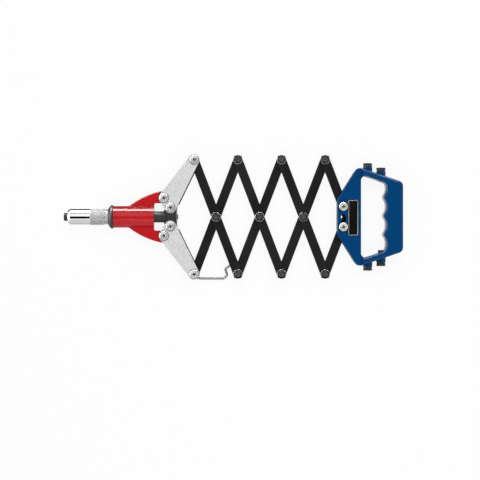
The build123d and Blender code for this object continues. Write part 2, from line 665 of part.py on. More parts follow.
def make_draw_gear():
    """The rod, jaw case, three jaws, pusher and spring that grip and pull a rivet's mandrel."""
    case_rear = CASE_FRONT + CASE_LENGTH
    rod_front = case_rear - ROD_SEAT_LENGTH
    rod_shoulder = BLOCK_FRONT - NECK_LENGTH - SEAT_GAP
    rod_end = BLOCK_REAR + ROD_TAIL_STAND
    rod = turned([
        (rod_front, 0),
        (rod_front, ROD_RADIUS),
        (rod_shoulder, ROD_RADIUS),
        (rod_shoulder, ROD_TAIL_RADIUS),
        (rod_end, ROD_TAIL_RADIUS),
        (rod_end, 0),
    ])
    save("draw_rod", rod)
    cone_rear = CASE_FRONT + CASE_CONE_LENGTH
    case_radius = SLEEVE_BORE_RADIUS - CASE_PLAY
    case = turned([
        (CASE_FRONT, CASE_MOUTH_RADIUS),
        (CASE_FRONT, case_radius),
        (case_rear, case_radius),
        (case_rear, ROD_RADIUS + RUN_FIT),
        (rod_front - SEAT_GAP, ROD_RADIUS + RUN_FIT),
        (rod_front - SEAT_GAP, CASE_CONE_RADIUS),
        (cone_rear, CASE_CONE_RADIUS),
    ])
    save("jaw_case", case)
    jaw_front = CASE_FRONT + JAW_INSET
    jaw_rear = jaw_front + JAW_LENGTH
    ring = turned([
        (jaw_front, JAW_BORE_RADIUS),
        (jaw_front, jaw_cone_radius(jaw_front) - SEAT_GAP),
        (jaw_rear, jaw_cone_radius(jaw_rear) - SEAT_GAP),
        (jaw_rear, JAW_BORE_RADIUS),
    ])
    for turn in range(JAW_COUNT):
        saw = Box(2 * JAW_LENGTH, JAW_GAP, 2 * CASE_CONE_RADIUS)
        saw = Pos((jaw_front + jaw_rear) / 2, 0, CASE_CONE_RADIUS) * saw
        ring -= saw.rotate(Axis.X, turn * 360 / JAW_COUNT)
    save("jaws", *ring.solids())
    pusher_front = jaw_rear + SEAT_GAP
    pusher_rear = pusher_front + PUSHER_LENGTH
    save("jaw_pusher", tube(pusher_front, pusher_rear, CASE_CONE_RADIUS - CASE_PLAY, PUSHER_BORE_RADIUS))
    spring_start = pusher_rear + SEAT_GAP + SPRING_WIRE / 2
    spring_length = rod_front - SEAT_GAP - SPRING_WIRE / 2 - spring_start
    helix = Helix(spring_length / SPRING_TURNS, spring_length, SPRING_RADIUS)
    section = Plane(origin=helix @ 0, z_dir=helix % 0) * Circle(SPRING_WIRE / 2)
    spring = sweep(section, path=helix, is_frenet=True).rotate(Axis.Y, 90)
    save("jaw_spring", spring.moved(Location((spring_start, 0, 0))))


# Handle

def bridge_edge_y(x):
    """The y of the bridges' outer edge at x."""
    return SHOULDER_Y + BRIDGE_SLOPE * (x - SHOULDER_X)


def handle_outline():
    """The whole handle from above: the fork's nose, the shoulders and the grip."""
    upper = [(FORK_FRONT, FORK_FRONT_HALF), (SHOULDER_X, SHOULDER_Y), (GRIP_REAR, bridge_edge_y(GRIP_REAR))]
    lower = [(x, -y) for x, y in reversed(upper)]
    outline = make_face(Polyline(*upper, *lower, close=True))
    front = outline.vertices().sort_by(Axis.X)[:2]
    outline = fillet(front, FORK_CORNER_ROUND)
    corners = [v for v in outline.vertices() if v.X > SHOULDER_X - RUN_FIT]
    return fillet(corners, OUTLINE_ROUND)


def window_outline():
    """The finger window, with a hollow for each finger on its rear side."""
    front_half = bridge_edge_y(WINDOW_FRONT) - BRIDGE_FRONT_WALL
    front = [(WINDOW_FRONT, -front_half), (WINDOW_FRONT, front_half)]
    rear = [(WINDOW_REAR, WINDOW_REAR_HALF), (WINDOW_REAR, -WINDOW_REAR_HALF)]
    whole = make_face(Polyline(*front, *rear, close=True))
    cusp_x = WINDOW_REAR - FINGER_DEPTH
    half = FINGER_PITCH / 2
    radius = (half**2 + FINGER_DEPTH**2) / (2 * FINGER_DEPTH)
    plain_length = cusp_x - WINDOW_FRONT
    shape = Pos((WINDOW_FRONT + cusp_x) / 2, 0) * Rectangle(plain_length, 4 * front_half)
    for finger in range(FINGER_COUNT):
        y = FINGER_CENTRE_Y + (finger - (FINGER_COUNT - 1) / 2) * FINGER_PITCH
        shape += Pos(WINDOW_REAR - radius, y) * Circle(radius)
    window = whole & shape
    on_cusp_line = [v for v in window.vertices() if abs(v.X - cusp_x) < RUN_FIT]
    cusps = [v for v in on_cusp_line if abs(v.Y) < WINDOW_REAR_HALF - half]
    window = fillet(cusps, FINGER_CUSP_ROUND)
    corners = [v for v in window.vertices() if abs(v.Y) > WINDOW_REAR_HALF - RUN_FIT]
    return fillet(corners, WINDOW_ROUND)


def boss_top_y(x):
    """Where a spare nosepiece's head sits."""
    return bridge_edge_y(x) + BOSS_RISE


def make_handle_casting():
    """The blue casting: a slotted fork, two bridges and a finger grip."""
    outline = handle_outline()
    window = window_outline()
    size = 4 * SHOULDER_Y
    grip_start = WINDOW_FRONT + GRIP_STEP
    fork_end = grip_start + GRIP_OVERLAP
    rear_part = Pos(grip_start + size / 2, 0) * Rectangle(size, size)
    fork_part = Pos(fork_end - size / 2, 0) * Rectangle(size, size)
    grip = slab((outline & rear_part) - window, -GRIP_HALF_THICK, GRIP_HALF_THICK)
    faces = grip.faces().filter_by(Axis.Z).sort_by(Axis.Z)
    rims = faces[0].edges() + faces[-1].edges()
    rims = [e for e in rims if e.center().X > grip_start + RUN_FIT]
    grip = fillet(rims, min(GRIP_EDGE, GRIP_EDGE_SHARE * min(BRIDGE_FRONT_WALL, BRIDGE_REAR_WALL)))
    fork = slab((outline & fork_part) - window, -FORK_HALF_THICK, FORK_HALF_THICK)
    fork_faces = fork.faces().filter_by(Axis.Z)
    fork_rims = [e for e in fork_faces.edges() if e.center().X < WINDOW_FRONT - RUN_FIT]
    fork = fillet(fork_rims, FORK_EDGE)
    casting = fork + grip
    pocket_length = POCKET_REAR - FORK_FRONT + 1
    pocket = Pos(POCKET_REAR - pocket_length / 2, 0, 0) * Box(pocket_length, size, 2 * POCKET_HALF)
    casting -= pocket
    pivot = (0, SCREW_HALF_SPACING)
    casting -= disc(pivot, HANDLE_SCREW_RADIUS + RUN_FIT, -size, size)
    slot_radius = HANDLE_SCREW_RADIUS + SLOT_PLAY
    folded_drop = 2 * (BAR_HALF - HALF_BAR_REACH) - SCREW_HALF_SPACING
    slot_top = (0, SLOT_TOP - slot_radius)
    slot_bottom = (0, -folded_drop)
    casting -= slab(strip(slot_bottom, slot_top, 2 * slot_radius), -size, size)
    for x in SPARE_X:
        top = boss_top_y(x)
        bottom = bridge_edge_y(x) - BOSS_SINK
        boss = Pos(x, (top + bottom) / 2, 0) * Rot(90, 0, 0) * Cylinder(BOSS_RADIUS, top - bottom)
        drill = Pos(x, top, 0) * Rot(90, 0, 0) * Cylinder(NOSE_SHANK_RADIUS + RUN_FIT, size / 4)
        casting = casting + boss + flip(boss) - drill - flip(drill)
    save("handle_casting", Pos(SCREW_LINE_X, 0, 0) * casting)


def make_handle_screws():
    """The fixed screw that the near half bar turns on, and the one that slides in the slot."""
    base = FORK_HALF_THICK + SEAT_GAP
    low = -base - HANDLE_NUT_THICK - SCREW_END_STAND
    for name, side in (("pivot", 1), ("slot", -1)):
        centre = (SCREW_LINE_X, side * SCREW_HALF_SPACING)
        shank = disc(centre, HANDLE_SCREW_RADIUS, low, base + HANDLE_HEAD_RIM / 2)
        head = domed_head(centre, base, HANDLE_HEAD_RADIUS, HANDLE_HEAD_RIM, HANDLE_HEAD_DOME)
        save(f"handle_{name}_screw", shank + head)
        nut = hex_nut(centre, -base, HANDLE_NUT_WIDTH, HANDLE_NUT_THICK, HANDLE_SCREW_RADIUS + RUN_FIT)
        save(f"handle_{name}_nut", nut)


def make_nameplate():
    """A bare plate with a raised rim, stuck on the fork."""
    length = PLATE_REAR - PLATE_FRONT
    centre = Pos(SCREW_LINE_X + (PLATE_FRONT + PLATE_REAR) / 2, PLATE_CENTRE_Y)
    outline = RectangleRounded(length, 2 * PLATE_HALF, PLATE_CORNER)
    inner = RectangleRounded(length - 2 * PLATE_RIM, 2 * (PLATE_HALF - PLATE_RIM), PLATE_CORNER - PLATE_RIM)
    base = FORK_HALF_THICK + SEAT_GAP
    plate = slab(centre * outline, base, base + PLATE_THICK + PLATE_RIM_RISE)
    plate -= slab(centre * inner, base + PLATE_THICK, base + 2 * PLATE_THICK)
    save("nameplate", plate)


def make_spares():
    """Four spare nosepieces for other rivet sizes, screwed into the bosses on the bridges."""
    places = [(x, side) for side in (1, -1) for x in SPARE_X]
    kinds = zip(places, SPARE_BORES, SPARE_SHANK_LENGTHS)
    for number, ((x, side), bore, shank) in enumerate(kinds, start=1):
        piece = nosepiece(SPARE_HEAD_RADIUS, SPARE_HEAD_LENGTH, shank, bore)
        piece = Rot(0, 0, -90) * piece
        piece = Pos(SCREW_LINE_X + x, boss_top_y(x) + SEAT_GAP, 0) * piece
        save(f"spare_nosepiece_{number}", piece if side == 1 else flip(piece))


os.makedirs("parts", exist_ok=True)
make_head_casting()
make_nose()
make_crosshead()
make_draw_gear()
make_arms()
make_hook()
make_tongs()
make_handle_casting()
make_handle_screws()
make_nameplate()
make_spares()
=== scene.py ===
import json
import math

import bmesh
import bpy
from mathutils import Matrix, Vector

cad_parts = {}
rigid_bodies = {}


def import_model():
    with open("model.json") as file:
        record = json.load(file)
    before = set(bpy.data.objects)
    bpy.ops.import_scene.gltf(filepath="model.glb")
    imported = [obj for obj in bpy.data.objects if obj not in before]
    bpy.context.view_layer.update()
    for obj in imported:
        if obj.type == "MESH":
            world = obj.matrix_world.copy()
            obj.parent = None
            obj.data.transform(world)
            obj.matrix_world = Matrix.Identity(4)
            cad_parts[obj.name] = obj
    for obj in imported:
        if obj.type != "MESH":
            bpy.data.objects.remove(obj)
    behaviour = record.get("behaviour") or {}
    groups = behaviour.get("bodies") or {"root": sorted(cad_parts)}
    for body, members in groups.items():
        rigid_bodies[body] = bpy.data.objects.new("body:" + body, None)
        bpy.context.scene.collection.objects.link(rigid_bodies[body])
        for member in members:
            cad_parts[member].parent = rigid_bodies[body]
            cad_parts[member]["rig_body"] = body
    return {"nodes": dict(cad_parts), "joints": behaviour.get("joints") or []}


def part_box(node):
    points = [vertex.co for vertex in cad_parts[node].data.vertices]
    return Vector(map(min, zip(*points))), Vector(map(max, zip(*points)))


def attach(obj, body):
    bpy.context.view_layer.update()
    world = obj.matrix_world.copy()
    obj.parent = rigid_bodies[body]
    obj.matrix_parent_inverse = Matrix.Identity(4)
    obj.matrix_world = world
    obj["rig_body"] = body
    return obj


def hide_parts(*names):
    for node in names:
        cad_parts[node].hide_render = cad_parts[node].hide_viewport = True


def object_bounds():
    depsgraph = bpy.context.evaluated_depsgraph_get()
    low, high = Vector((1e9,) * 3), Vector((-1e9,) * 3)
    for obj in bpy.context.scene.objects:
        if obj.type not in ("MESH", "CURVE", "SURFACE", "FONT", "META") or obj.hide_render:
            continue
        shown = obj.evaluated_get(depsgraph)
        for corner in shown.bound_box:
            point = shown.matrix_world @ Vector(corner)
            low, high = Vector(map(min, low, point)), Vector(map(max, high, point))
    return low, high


# A lazy tong riveter lying flat on a white table, seen from straight above.
# Metres and radians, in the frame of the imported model. Sizes given in millimetres are multiplied by MM.

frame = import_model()
cad_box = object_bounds()

MM = 0.001
scene = bpy.context.scene
pivots = {joint["name"]: Vector(joint["pos_m"]) for joint in frame["joints"] if "pos_m" in joint}

# Rounded edges, and the angles in degrees from which a crease stays sharp
STAMPED_EDGE = 0.45 * MM
PLATE_EDGE = 0.5 * MM
FINE_EDGE = 0.15 * MM
THIN_EDGE = 0.05 * MM
SHARP_ANGLE = 35
KNURL_SHARP = 50
WIRE_SHARP = 60
NUT_SHARP = 20

# How finely round shapes are divided
ROUND_STEPS = 40
HOLE_STEPS = 32
BAR_END_STEPS = 28
ARM_END_STEPS = 24
EDGE_STEPS = 3
SOFT_STEPS = 3

# The most of a side that one softened corner takes
CORNER_SHARE = 0.45

# Tongs
BAR_WIDTH = 10.4 * MM
PIN_RADIUS = 3.5 * MM
PIN_HOLE = 3.55 * MM
SCREW_HOLE = 2.55 * MM
HANDLE_SCREW_HOLE = 2.75 * MM
HALF_BAR_TAIL = 8.0 * MM

# Head arms
CRANK_OFFSET = Vector((7.4, -10.88)) * MM
CHEEK_R_HEAD = 6.0 * MM
CHEEK_R_CRANK = 6.5 * MM
CHEEK_R_TONG = 6.2 * MM


# Material helpers

# The ranges of noise and masks that are spread over 0 to 1
CLOUD_SPAN = (0.35, 0.65)
GRAIN_SPAN = (0.3, 0.7)
WEAR_AND_HIGHLIGHT_SPAN = (0.35, 0.6)
EDGE_SPAN = (0.97, 0.80)
CREVICE_SPAN = (0.5, 0.95)
REAR_SPAN = (0.5, 0.9)

CLOUD_DETAIL = 4.0
WEAR_AND_HIGHLIGHT_DETAIL = 5.0
EDGE_SAMPLES = 6
CREVICE_SAMPLES = 8
ROUND_SAMPLES = 4
WEAR_AND_HIGHLIGHT_REACH = 0.35 * MM
BUMP_STRENGTH = 0.4


def grey(level):
    """A colour of one even level."""
    return (level, level, level)


def new_shader(name):
    """A new material with one principled shader."""
    material = bpy.data.materials.new(name)
    material.use_nodes = True
    tree = material.node_tree
    tree.nodes.clear()
    output = tree.nodes.new("ShaderNodeOutputMaterial")
    shader = tree.nodes.new("ShaderNodeBsdfPrincipled")
    tree.links.new(shader.outputs["BSDF"], output.inputs["Surface"])
    return material, tree, shader


def noise(tree, scale, detail=3.0):
    """A noise field in the object's own metres."""
    place = tree.nodes.new("ShaderNodeTexCoord")
    field = tree.nodes.new("ShaderNodeTexNoise")
    field.inputs["Scale"].default_value = scale
    field.inputs["Detail"].default_value = detail
    tree.links.new(place.outputs["Object"], field.inputs["Vector"])
    return field.outputs["Fac"]


def spread(tree, value, low, high, to_low=0.0, to_high=1.0):
    """Maps a value from one range to another, held at the ends."""
    node = tree.nodes.new("ShaderNodeMapRange")
    node.inputs["From Min"].default_value = low
    node.inputs["From Max"].default_value = high
    node.inputs["To Min"].default_value = to_low
    node.inputs["To Max"].default_value = to_high
    tree.links.new(value, node.inputs["Value"])
    return node.outputs["Result"]


def blend_colours(tree, share, first, second):
    """Mixes two colours; each is a colour or a socket."""
    node = tree.nodes.new("ShaderNodeMix")
    node.data_type = "RGBA"
    tree.links.new(share, node.inputs["Factor"])
    for socket, colour in ((node.inputs[6], first), (node.inputs[7], second)):
        if isinstance(colour, tuple):
            socket.default_value = (*colour, 1.0)
        else:
            tree.links.new(colour, socket)
    return node.outputs[2]


def edge_mask(tree, radius):
    """Bright where the surface turns sharply; it marks worn rims and painted edge highlights."""
    soft = tree.nodes.new("ShaderNodeBevel")
    soft.samples = EDGE_SAMPLES
    soft.inputs["Radius"].default_value = radius
    surface = tree.nodes.new("ShaderNodeNewGeometry")
    dot = tree.nodes.new("ShaderNodeVectorMath")
    dot.operation = "DOT_PRODUCT"
    tree.links.new(soft.outputs["Normal"], dot.inputs[0])
    tree.links.new(surface.outputs["Normal"], dot.inputs[1])
    return spread(tree, dot.outputs["Value"], *EDGE_SPAN)


def crevice_shade_mask(tree, reach):
    """Bright where something stands within reach of the surface; painted shade is laid there."""
    near = tree.nodes.new("ShaderNodeAmbientOcclusion")
    near.samples = CREVICE_SAMPLES
    near.inputs["Distance"].default_value = reach
    return spread(tree, near.outputs["AO"], *CREVICE_SPAN, 1.0, 0.0)


def facing(tree, axis):
    """How far the surface faces along one axis, from -1 to 1."""
    surface = tree.nodes.new("ShaderNodeNewGeometry")
    parts = tree.nodes.new("ShaderNodeSeparateXYZ")
    tree.links.new(surface.outputs["Normal"], parts.inputs["Vector"])
    return parts.outputs[axis]


def finish_material(name, colour, tint, metallic, rough, grain, bump, round_edge, wear_and_highlight=None, wear_and_highlight_share=0.6,
                    specular=0.5, cloud_scale=40.0, crevice_shade=None, crevice_shade_reach=1.5, sides=None,
                    side_shade_span=(0.86, 0.60), rear_face_colour=None):
    """A worn, slightly uneven finish that drifts between a colour and a tint of it.

    rough is (least, most). bump, round_edge and crevice_shade_reach are in millimetres. wear_and_highlight is
    the colour of rubbed edges, and on the blue and black finishes also a painted highlight; crevice_shade is
    painted shade in crevices and round raised parts. sides is painted shade: a darker colour for walls that
    face sideways, blended in over side_shade_span of how far they face up. rear_face_colour is the colour of
    faces toward +X."""
    material, tree, shader = new_shader(name)
    shader.inputs["Metallic"].default_value = metallic
    shader.inputs["Specular IOR Level"].default_value = specular
    cloud = noise(tree, cloud_scale, CLOUD_DETAIL)
    fine = noise(tree, grain)
    base = blend_colours(tree, spread(tree, cloud, *CLOUD_SPAN), colour, tint)
    # Edges get this colour in patches: worn paint, and on the blue and black finishes also a painted
    # highlight.
    if wear_and_highlight:
        wear_and_highlight_patches = spread(tree, noise(tree, grain / 3, WEAR_AND_HIGHLIGHT_DETAIL), *WEAR_AND_HIGHLIGHT_SPAN, 0.0, wear_and_highlight_share)
        both = tree.nodes.new("ShaderNodeMath")
        both.operation = "MULTIPLY"
        tree.links.new(edge_mask(tree, WEAR_AND_HIGHLIGHT_REACH), both.inputs[0])
        tree.links.new(wear_and_highlight_patches, both.inputs[1])
        base = blend_colours(tree, both.outputs[0], base, wear_and_highlight)
    # Painted shade: walls that face sideways get a darker colour.
    if sides:
        base = blend_colours(tree, spread(tree, facing(tree, "Z"), *side_shade_span), base, sides)
    # Faces toward +X are given their own colour.
    if rear_face_colour:
        base = blend_colours(tree, spread(tree, facing(tree, "X"), *REAR_SPAN), base, rear_face_colour)
    # Painted shade: crevices and the surface round raised parts are darkened.
    if crevice_shade:
        base = blend_colours(tree, crevice_shade_mask(tree, crevice_shade_reach * MM), base, crevice_shade)
    tree.links.new(base, shader.inputs["Base Color"])
    tree.links.new(spread(tree, fine, *GRAIN_SPAN, *rough), shader.inputs["Roughness"])
    soft = tree.nodes.new("ShaderNodeBevel")
    soft.samples = ROUND_SAMPLES
    soft.inputs["Radius"].default_value = round_edge * MM
    lift = tree.nodes.new("ShaderNodeBump")
    lift.inputs["Strength"].default_value = BUMP_STRENGTH
    lift.inputs["Distance"].default_value = bump * MM
    tree.links.new(fine, lift.inputs["Height"])
    tree.links.new(soft.outputs["Normal"], lift.inputs["Normal"])
    tree.links.new(lift.outputs["Normal"], shader.inputs["Normal"])
    return material


# Finishes

# The crevice and side colours below are painted shade, and on the blue and black finishes the edge colour is
# partly a painted highlight.
RED = finish_material("red_enamel", (0.49, 0.0105, 0.0155), (0.45, 0.009, 0.013), 0.0, (0.14, 0.19),
                      grain=900, bump=0.004, round_edge=0.6, specular=0.36, crevice_shade=(0.10, 0.001, 0.002))
# Its pale edge colour paints light lines along the casting's edges as well as wear.
BLUE = finish_material("blue_enamel", (0.0003, 0.048, 0.162), (0.0003, 0.044, 0.150), 0.0, (0.16, 0.26),
                       grain=1200, bump=0.010, round_edge=0.4, specular=0.12, wear_and_highlight=(0.10, 0.24, 0.40),
                       wear_and_highlight_share=0.7, crevice_shade=(0.0, 0.010, 0.035))
# Its crevice colour paints a dark shadow ring round the screw heads and nuts.
SILVER = finish_material("silver_satin", grey(0.67), grey(0.53), 0.0, (0.35, 0.5),
                         grain=900, bump=0.010, round_edge=0.2, specular=0.4, cloud_scale=700.0,
                         crevice_shade=grey(0.01), crevice_shade_reach=1.4)
# Its grey edge colour paints light lines along the bars' edges as well as wear.
BLACK = finish_material("black_satin", grey(0.008), grey(0.014), 0.0, (0.3, 0.45),
                        grain=1100, bump=0.015, round_edge=0.15, wear_and_highlight=grey(0.22), specular=0.12,
                        cloud_scale=22.0)
# The crosshead's faces toward +X are given a light grey.
CROSSHEAD_BLACK = finish_material("crosshead_black", grey(0.026), grey(0.036), 0.0, (0.3, 0.45),
                                  grain=1100, bump=0.015, round_edge=0.2, specular=0.3, cloud_scale=60.0,
                                  rear_face_colour=(0.62, 0.62, 0.60))
CHROME = finish_material("polished_chrome", (0.96, 0.96, 0.965), (0.92, 0.92, 0.925), 1.0, (0.02, 0.04),
                         grain=500, bump=0.0002, round_edge=0.2)
KNURLED = finish_material("knurled_satin", grey(0.60), grey(0.30), 0.1, (0.35, 0.48),
                          grain=1500, bump=0.01, round_edge=0.06, specular=0.2, cloud_scale=800.0,
                          crevice_shade=grey(0.03), crevice_shade_reach=0.5)
# Its crevice colour paints the shade where the ring meets the barrel and the sleeve.
RING = finish_material("ring_oxide", (0.060, 0.068, 0.062), (0.042, 0.050, 0.046), 0.3, (0.35, 0.5),
                       grain=900, bump=0.02, round_edge=0.25, wear_and_highlight=(0.3, 0.3, 0.29), wear_and_highlight_share=0.5,
                       crevice_shade=grey(0.006), crevice_shade_reach=1.2)
DARK = finish_material("dark_oxide", (0.016, 0.015, 0.015), (0.030, 0.029, 0.028), 0.1, (0.32, 0.5),
                       grain=1200, bump=0.02, round_edge=0.15, wear_and_highlight=(0.22, 0.21, 0.20), wear_and_highlight_share=0.5,
                       specular=0.2, cloud_scale=200.0)
PIN = finish_material("pin_oxide", grey(0.032), grey(0.048), 0.0, (0.35, 0.5),
                      grain=1200, bump=0.02, round_edge=0.15, specular=0.3, crevice_shade=grey(0.004),
                      crevice_shade_reach=0.8, sides=grey(0.012))
# Its crevice colour paints contact shadows, and its dark sides paint shaded rims on the heads and nuts.
ZINC = finish_material("bright_zinc", (0.80, 0.79, 0.77), (0.68, 0.67, 0.65), 0.55, (0.18, 0.28),
                       grain=900, bump=0.01, round_edge=0.12, crevice_shade=grey(0.01), crevice_shade_reach=1.8,
                       sides=(0.04, 0.04, 0.038), side_shade_span=(0.88, 0.66))
CLIP = finish_material("clip_steel", grey(0.62), grey(0.48), 1.0, (0.3, 0.42),
                       grain=1200, bump=0.01, round_edge=0.1, sides=grey(0.03))
CLIP_DARK = finish_material("clip_oxide", grey(0.010), grey(0.018), 0.2, (0.35, 0.5),
                            grain=1200, bump=0.01, round_edge=0.1, specular=0.2)
# Its dark sides paint a shaded outline along the wire.
WIRE = finish_material("wire_steel", grey(0.86), grey(0.74), 1.0, (0.16, 0.3),
                       grain=900, bump=0.01, round_edge=0.1, sides=grey(0.012), side_shade_span=(0.93, 0.78))
PLATE_BLACK = finish_material("plate_black", grey(0.004), grey(0.008), 0.0, (0.3, 0.42),
                              grain=1500, bump=0.01, round_edge=0.1, specular=0.1)
PLATE_RIM = finish_material("plate_rim", (0.50, 0.46, 0.44), (0.38, 0.35, 0.34), 0.9, (0.25, 0.4),
                            grain=1500, bump=0.01, round_edge=0.1)


# Mesh helpers

def on_circle(centre, radius, turn):
    """The point of a circle at an angle."""
    return Vector((centre[0] + radius * math.cos(turn), centre[1] + radius * math.sin(turn)))


def circle(centre, radius, count):
    """Points round a circle, anticlockwise."""
    step = 2 * math.pi / count
    return [on_circle(centre, radius, i * step) for i in range(count)]


def stretched(circles, steps):
    """The outline stretched round circles given anticlockwise as (x, y, radius)."""
    sides = []
    count = len(circles)
    for i in range(count):
        x1, y1, r1 = circles[i]
        x2, y2, r2 = circles[(i + 1) % count]
        run = math.hypot(x2 - x1, y2 - y1)
        sides.append(math.atan2(y2 - y1, x2 - x1) - math.pi / 2 + math.asin((r1 - r2) / run))
    points = []
    for i in range(count):
        x, y, radius = circles[i]
        first = sides[i - 1]
        sweep = (sides[i] - first) % (2 * math.pi)
        for k in range(steps + 1):
            points.append(on_circle((x, y), radius, first + sweep * k / steps))
    return points


def inset(ring, distance):
    """The closed ring moved inward by a distance; a hole's ring runs clockwise."""
    moved = []
    count = len(ring)
    for i in range(count):
        along = (ring[(i + 1) % count] - ring[i - 1]).normalized()
        moved.append(ring[i] + Vector((-along.y, along.x)) * distance)
    return moved


def to_piece(name, bm, materials, sharp=SHARP_ANGLE):
    """Turns mesh data into a scene object with crisp edges only where it turns sharply."""
    mesh = bpy.data.meshes.new(name)
    bm.to_mesh(mesh)
    bm.free()
    smooth = [polygon.use_smooth for polygon in mesh.polygons]
    mesh.set_sharp_from_angle(angle=math.radians(sharp))
    mesh.polygons.foreach_set("use_smooth", smooth)
    for material in materials:
        mesh.materials.append(material)
    piece = bpy.data.objects.new(name, mesh)
    scene.collection.objects.link(piece)
    return piece


def plate_mesh(bm, outline, holes, low, high, edge):
    """A flat stamped piece with round-edged walls, added to bm."""
    rings = [outline] + [list(reversed(hole)) for hole in holes]
    levels = []
    for k in range(EDGE_STEPS + 1):
        turn = math.pi / 2 * k / EDGE_STEPS
        levels.append((edge * (1 - math.sin(turn)), low + edge * (1 - math.cos(turn))))
    levels += [(inward, low + high - z) for inward, z in reversed(levels)]
    caps = ([], [])
    for ring in rings:
        loops = []
        for inward, z in levels:
            loops.append([bm.verts.new((p.x, p.y, z)) for p in inset(ring, inward)])
        count = len(ring)
        for lower, upper in zip(loops, loops[1:]):
            for i in range(count):
                k = (i + 1) % count
                face = bm.faces.new((lower[i], lower[k], upper[k], upper[i]))
                face.smooth = True
        for cap, loop in zip(caps, (loops[0], loops[-1])):
            cap.extend(bm.edges.get((loop[i], loop[(i + 1) % count])) for i in range(count))
    for cap, way in zip(caps, (-1, 1)):
        made = bmesh.ops.triangle_fill(bm, use_beauty=True, edges=cap)
        for item in made["geom"]:
            if isinstance(item, bmesh.types.BMFace):
                item.smooth = False
                item.normal_update()
                if item.normal.z * way < 0:
                    item.normal_flip()


def turned_mesh(bm, stations, segments, place, relief=None, closed=True, slots_at=None):
    """A piece turned about local +X, added to bm.

    stations are (along, radius); relief(along, radius, angle) gives a height added to the radius, and
    slots_at(along) the material. A closed piece has a bore: its last ring joins its first. Otherwise the
    ends are closed by a fan."""
    rings = []
    for along, radius in stations:
        ring = []
        for i in range(segments):
            turn = 2 * math.pi * i / segments
            reach = radius + (relief(along, radius, turn) if relief else 0.0)
            ring.append(bm.verts.new(place @ Vector((along, reach * math.cos(turn), reach * math.sin(turn)))))
        rings.append(ring)
    pairs = list(zip(rings, rings[1:]))
    if closed:
        pairs.append((rings[-1], rings[0]))
    faces = []
    for number, (first, second) in enumerate(pairs):
        for i in range(segments):
            k = (i + 1) % segments
            face = bm.faces.new((first[i], first[k], second[k], second[i]))
            face.smooth = True
            face.material_index = slots_at(stations[number][0]) if slots_at else 0
            faces.append(face)
    if not closed:
        for ring, along in ((rings[0], stations[0][0]), (rings[-1], stations[-1][0])):
            tip = bm.verts.new(place @ Vector((along, 0, 0)))
            for i in range(segments):
                face = bm.faces.new((ring[i], ring[(i + 1) % segments], tip))
                face.smooth = True
                faces.append(face)
    bmesh.ops.recalc_face_normals(bm, faces=faces)


def softened(corners, radius, loop=True):
    """A profile of (along, radius) corners with each corner cut to a small arc."""
    points = []
    count = len(corners)
    for i in range(count):
        here = Vector(corners[i])
        if not loop and i in (0, count - 1):
            points.append(tuple(here))
            continue
        before = Vector(corners[i - 1])
        after = Vector(corners[(i + 1) % count])
        room = min((before - here).length, (after - here).length) * CORNER_SHARE
        cut = min(radius, room)
        start = here + (before - here).normalized() * cut
        end = here + (after - here).normalized() * cut
        for k in range(SOFT_STEPS + 1):
            t = k / SOFT_STEPS
            points.append(tuple(start * (1 - t) ** 2 + here * 2 * t * (1 - t) + end * t ** 2))
    return points


UPRIGHT = Matrix.Rotation(-math.pi / 2, 4, "Y")


def over(centre):
    """Moves a piece made about the origin to a centre."""
    return Matrix.Translation((centre.x, centre.y, 0))


def heights(node):
    """The lowest and the highest z of a node."""
    low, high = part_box(node)
    return low.z, high.z


def axis_and_radius(node):
    """The height of a turned node's axis, and its radius."""
    low, high = heights(node)
    return (low + high) / 2, (high - low) / 2


def stands_for(piece, *nodes):
    """The piece takes the place and body of the nodes it replaces."""
    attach(piece, frame["nodes"][nodes[0]]["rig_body"])
    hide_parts(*nodes)


def plate(prefix, node, outline, holes, edge, material):
    """A flat stamped piece in a node's place."""
    bm = bmesh.new()
    plate_mesh(bm, outline, holes, *heights(node), edge)
    stands_for(to_piece(prefix + node, bm, [material]), node)


def turned(node, stations, segments, place, materials, sharp=SHARP_ANGLE, **options):
    """A turned piece in a node's place; the options are those of turned_mesh."""
    bm = bmesh.new()
    turned_mesh(bm, stations, segments, place, **options)
    stands_for(to_piece("turned_" + node, bm, materials, sharp), node)


def dress(material, *nodes):
    """Gives the carried-over nodes a better material."""
    for node in nodes:
        mesh = frame["nodes"][node].data
        mesh.materials.clear()
        mesh.materials.append(material)


# Tongs

UP_0 = pivots["tong_a1_pivot"]
LOW_0 = pivots["latch_swing"]
UP = [pivots["tong_a2_pivot"], pivots["tong_a3_pivot"], pivots["tong_a4_pivot"]]
LOW = [pivots["tong_b2_pivot"], pivots["tong_b3_pivot"], pivots["tong_b4_pivot"]]
uppers = [UP_0] + UP
lowers = [LOW_0] + LOW
MIDDLE = [(uppers[i] + lowers[i + 1]) / 2 for i in range(3)]
HANDLE_UPPER = pivots["handle_pivot"]
HANDLE_LOWER = Vector((HANDLE_UPPER.x, -HANDLE_UPPER.y, HANDLE_UPPER.z))


def bar(node, ends, holes):
    """One stamped bar with round ends."""
    outline = stretched([(end.x, end.y, BAR_WIDTH / 2) for end in ends], BAR_END_STEPS)
    rings = [circle(centre, radius, ROUND_STEPS) for centre, radius in holes]
    plate("stamped_", node, outline, rings, STAMPED_EDGE, BLACK)


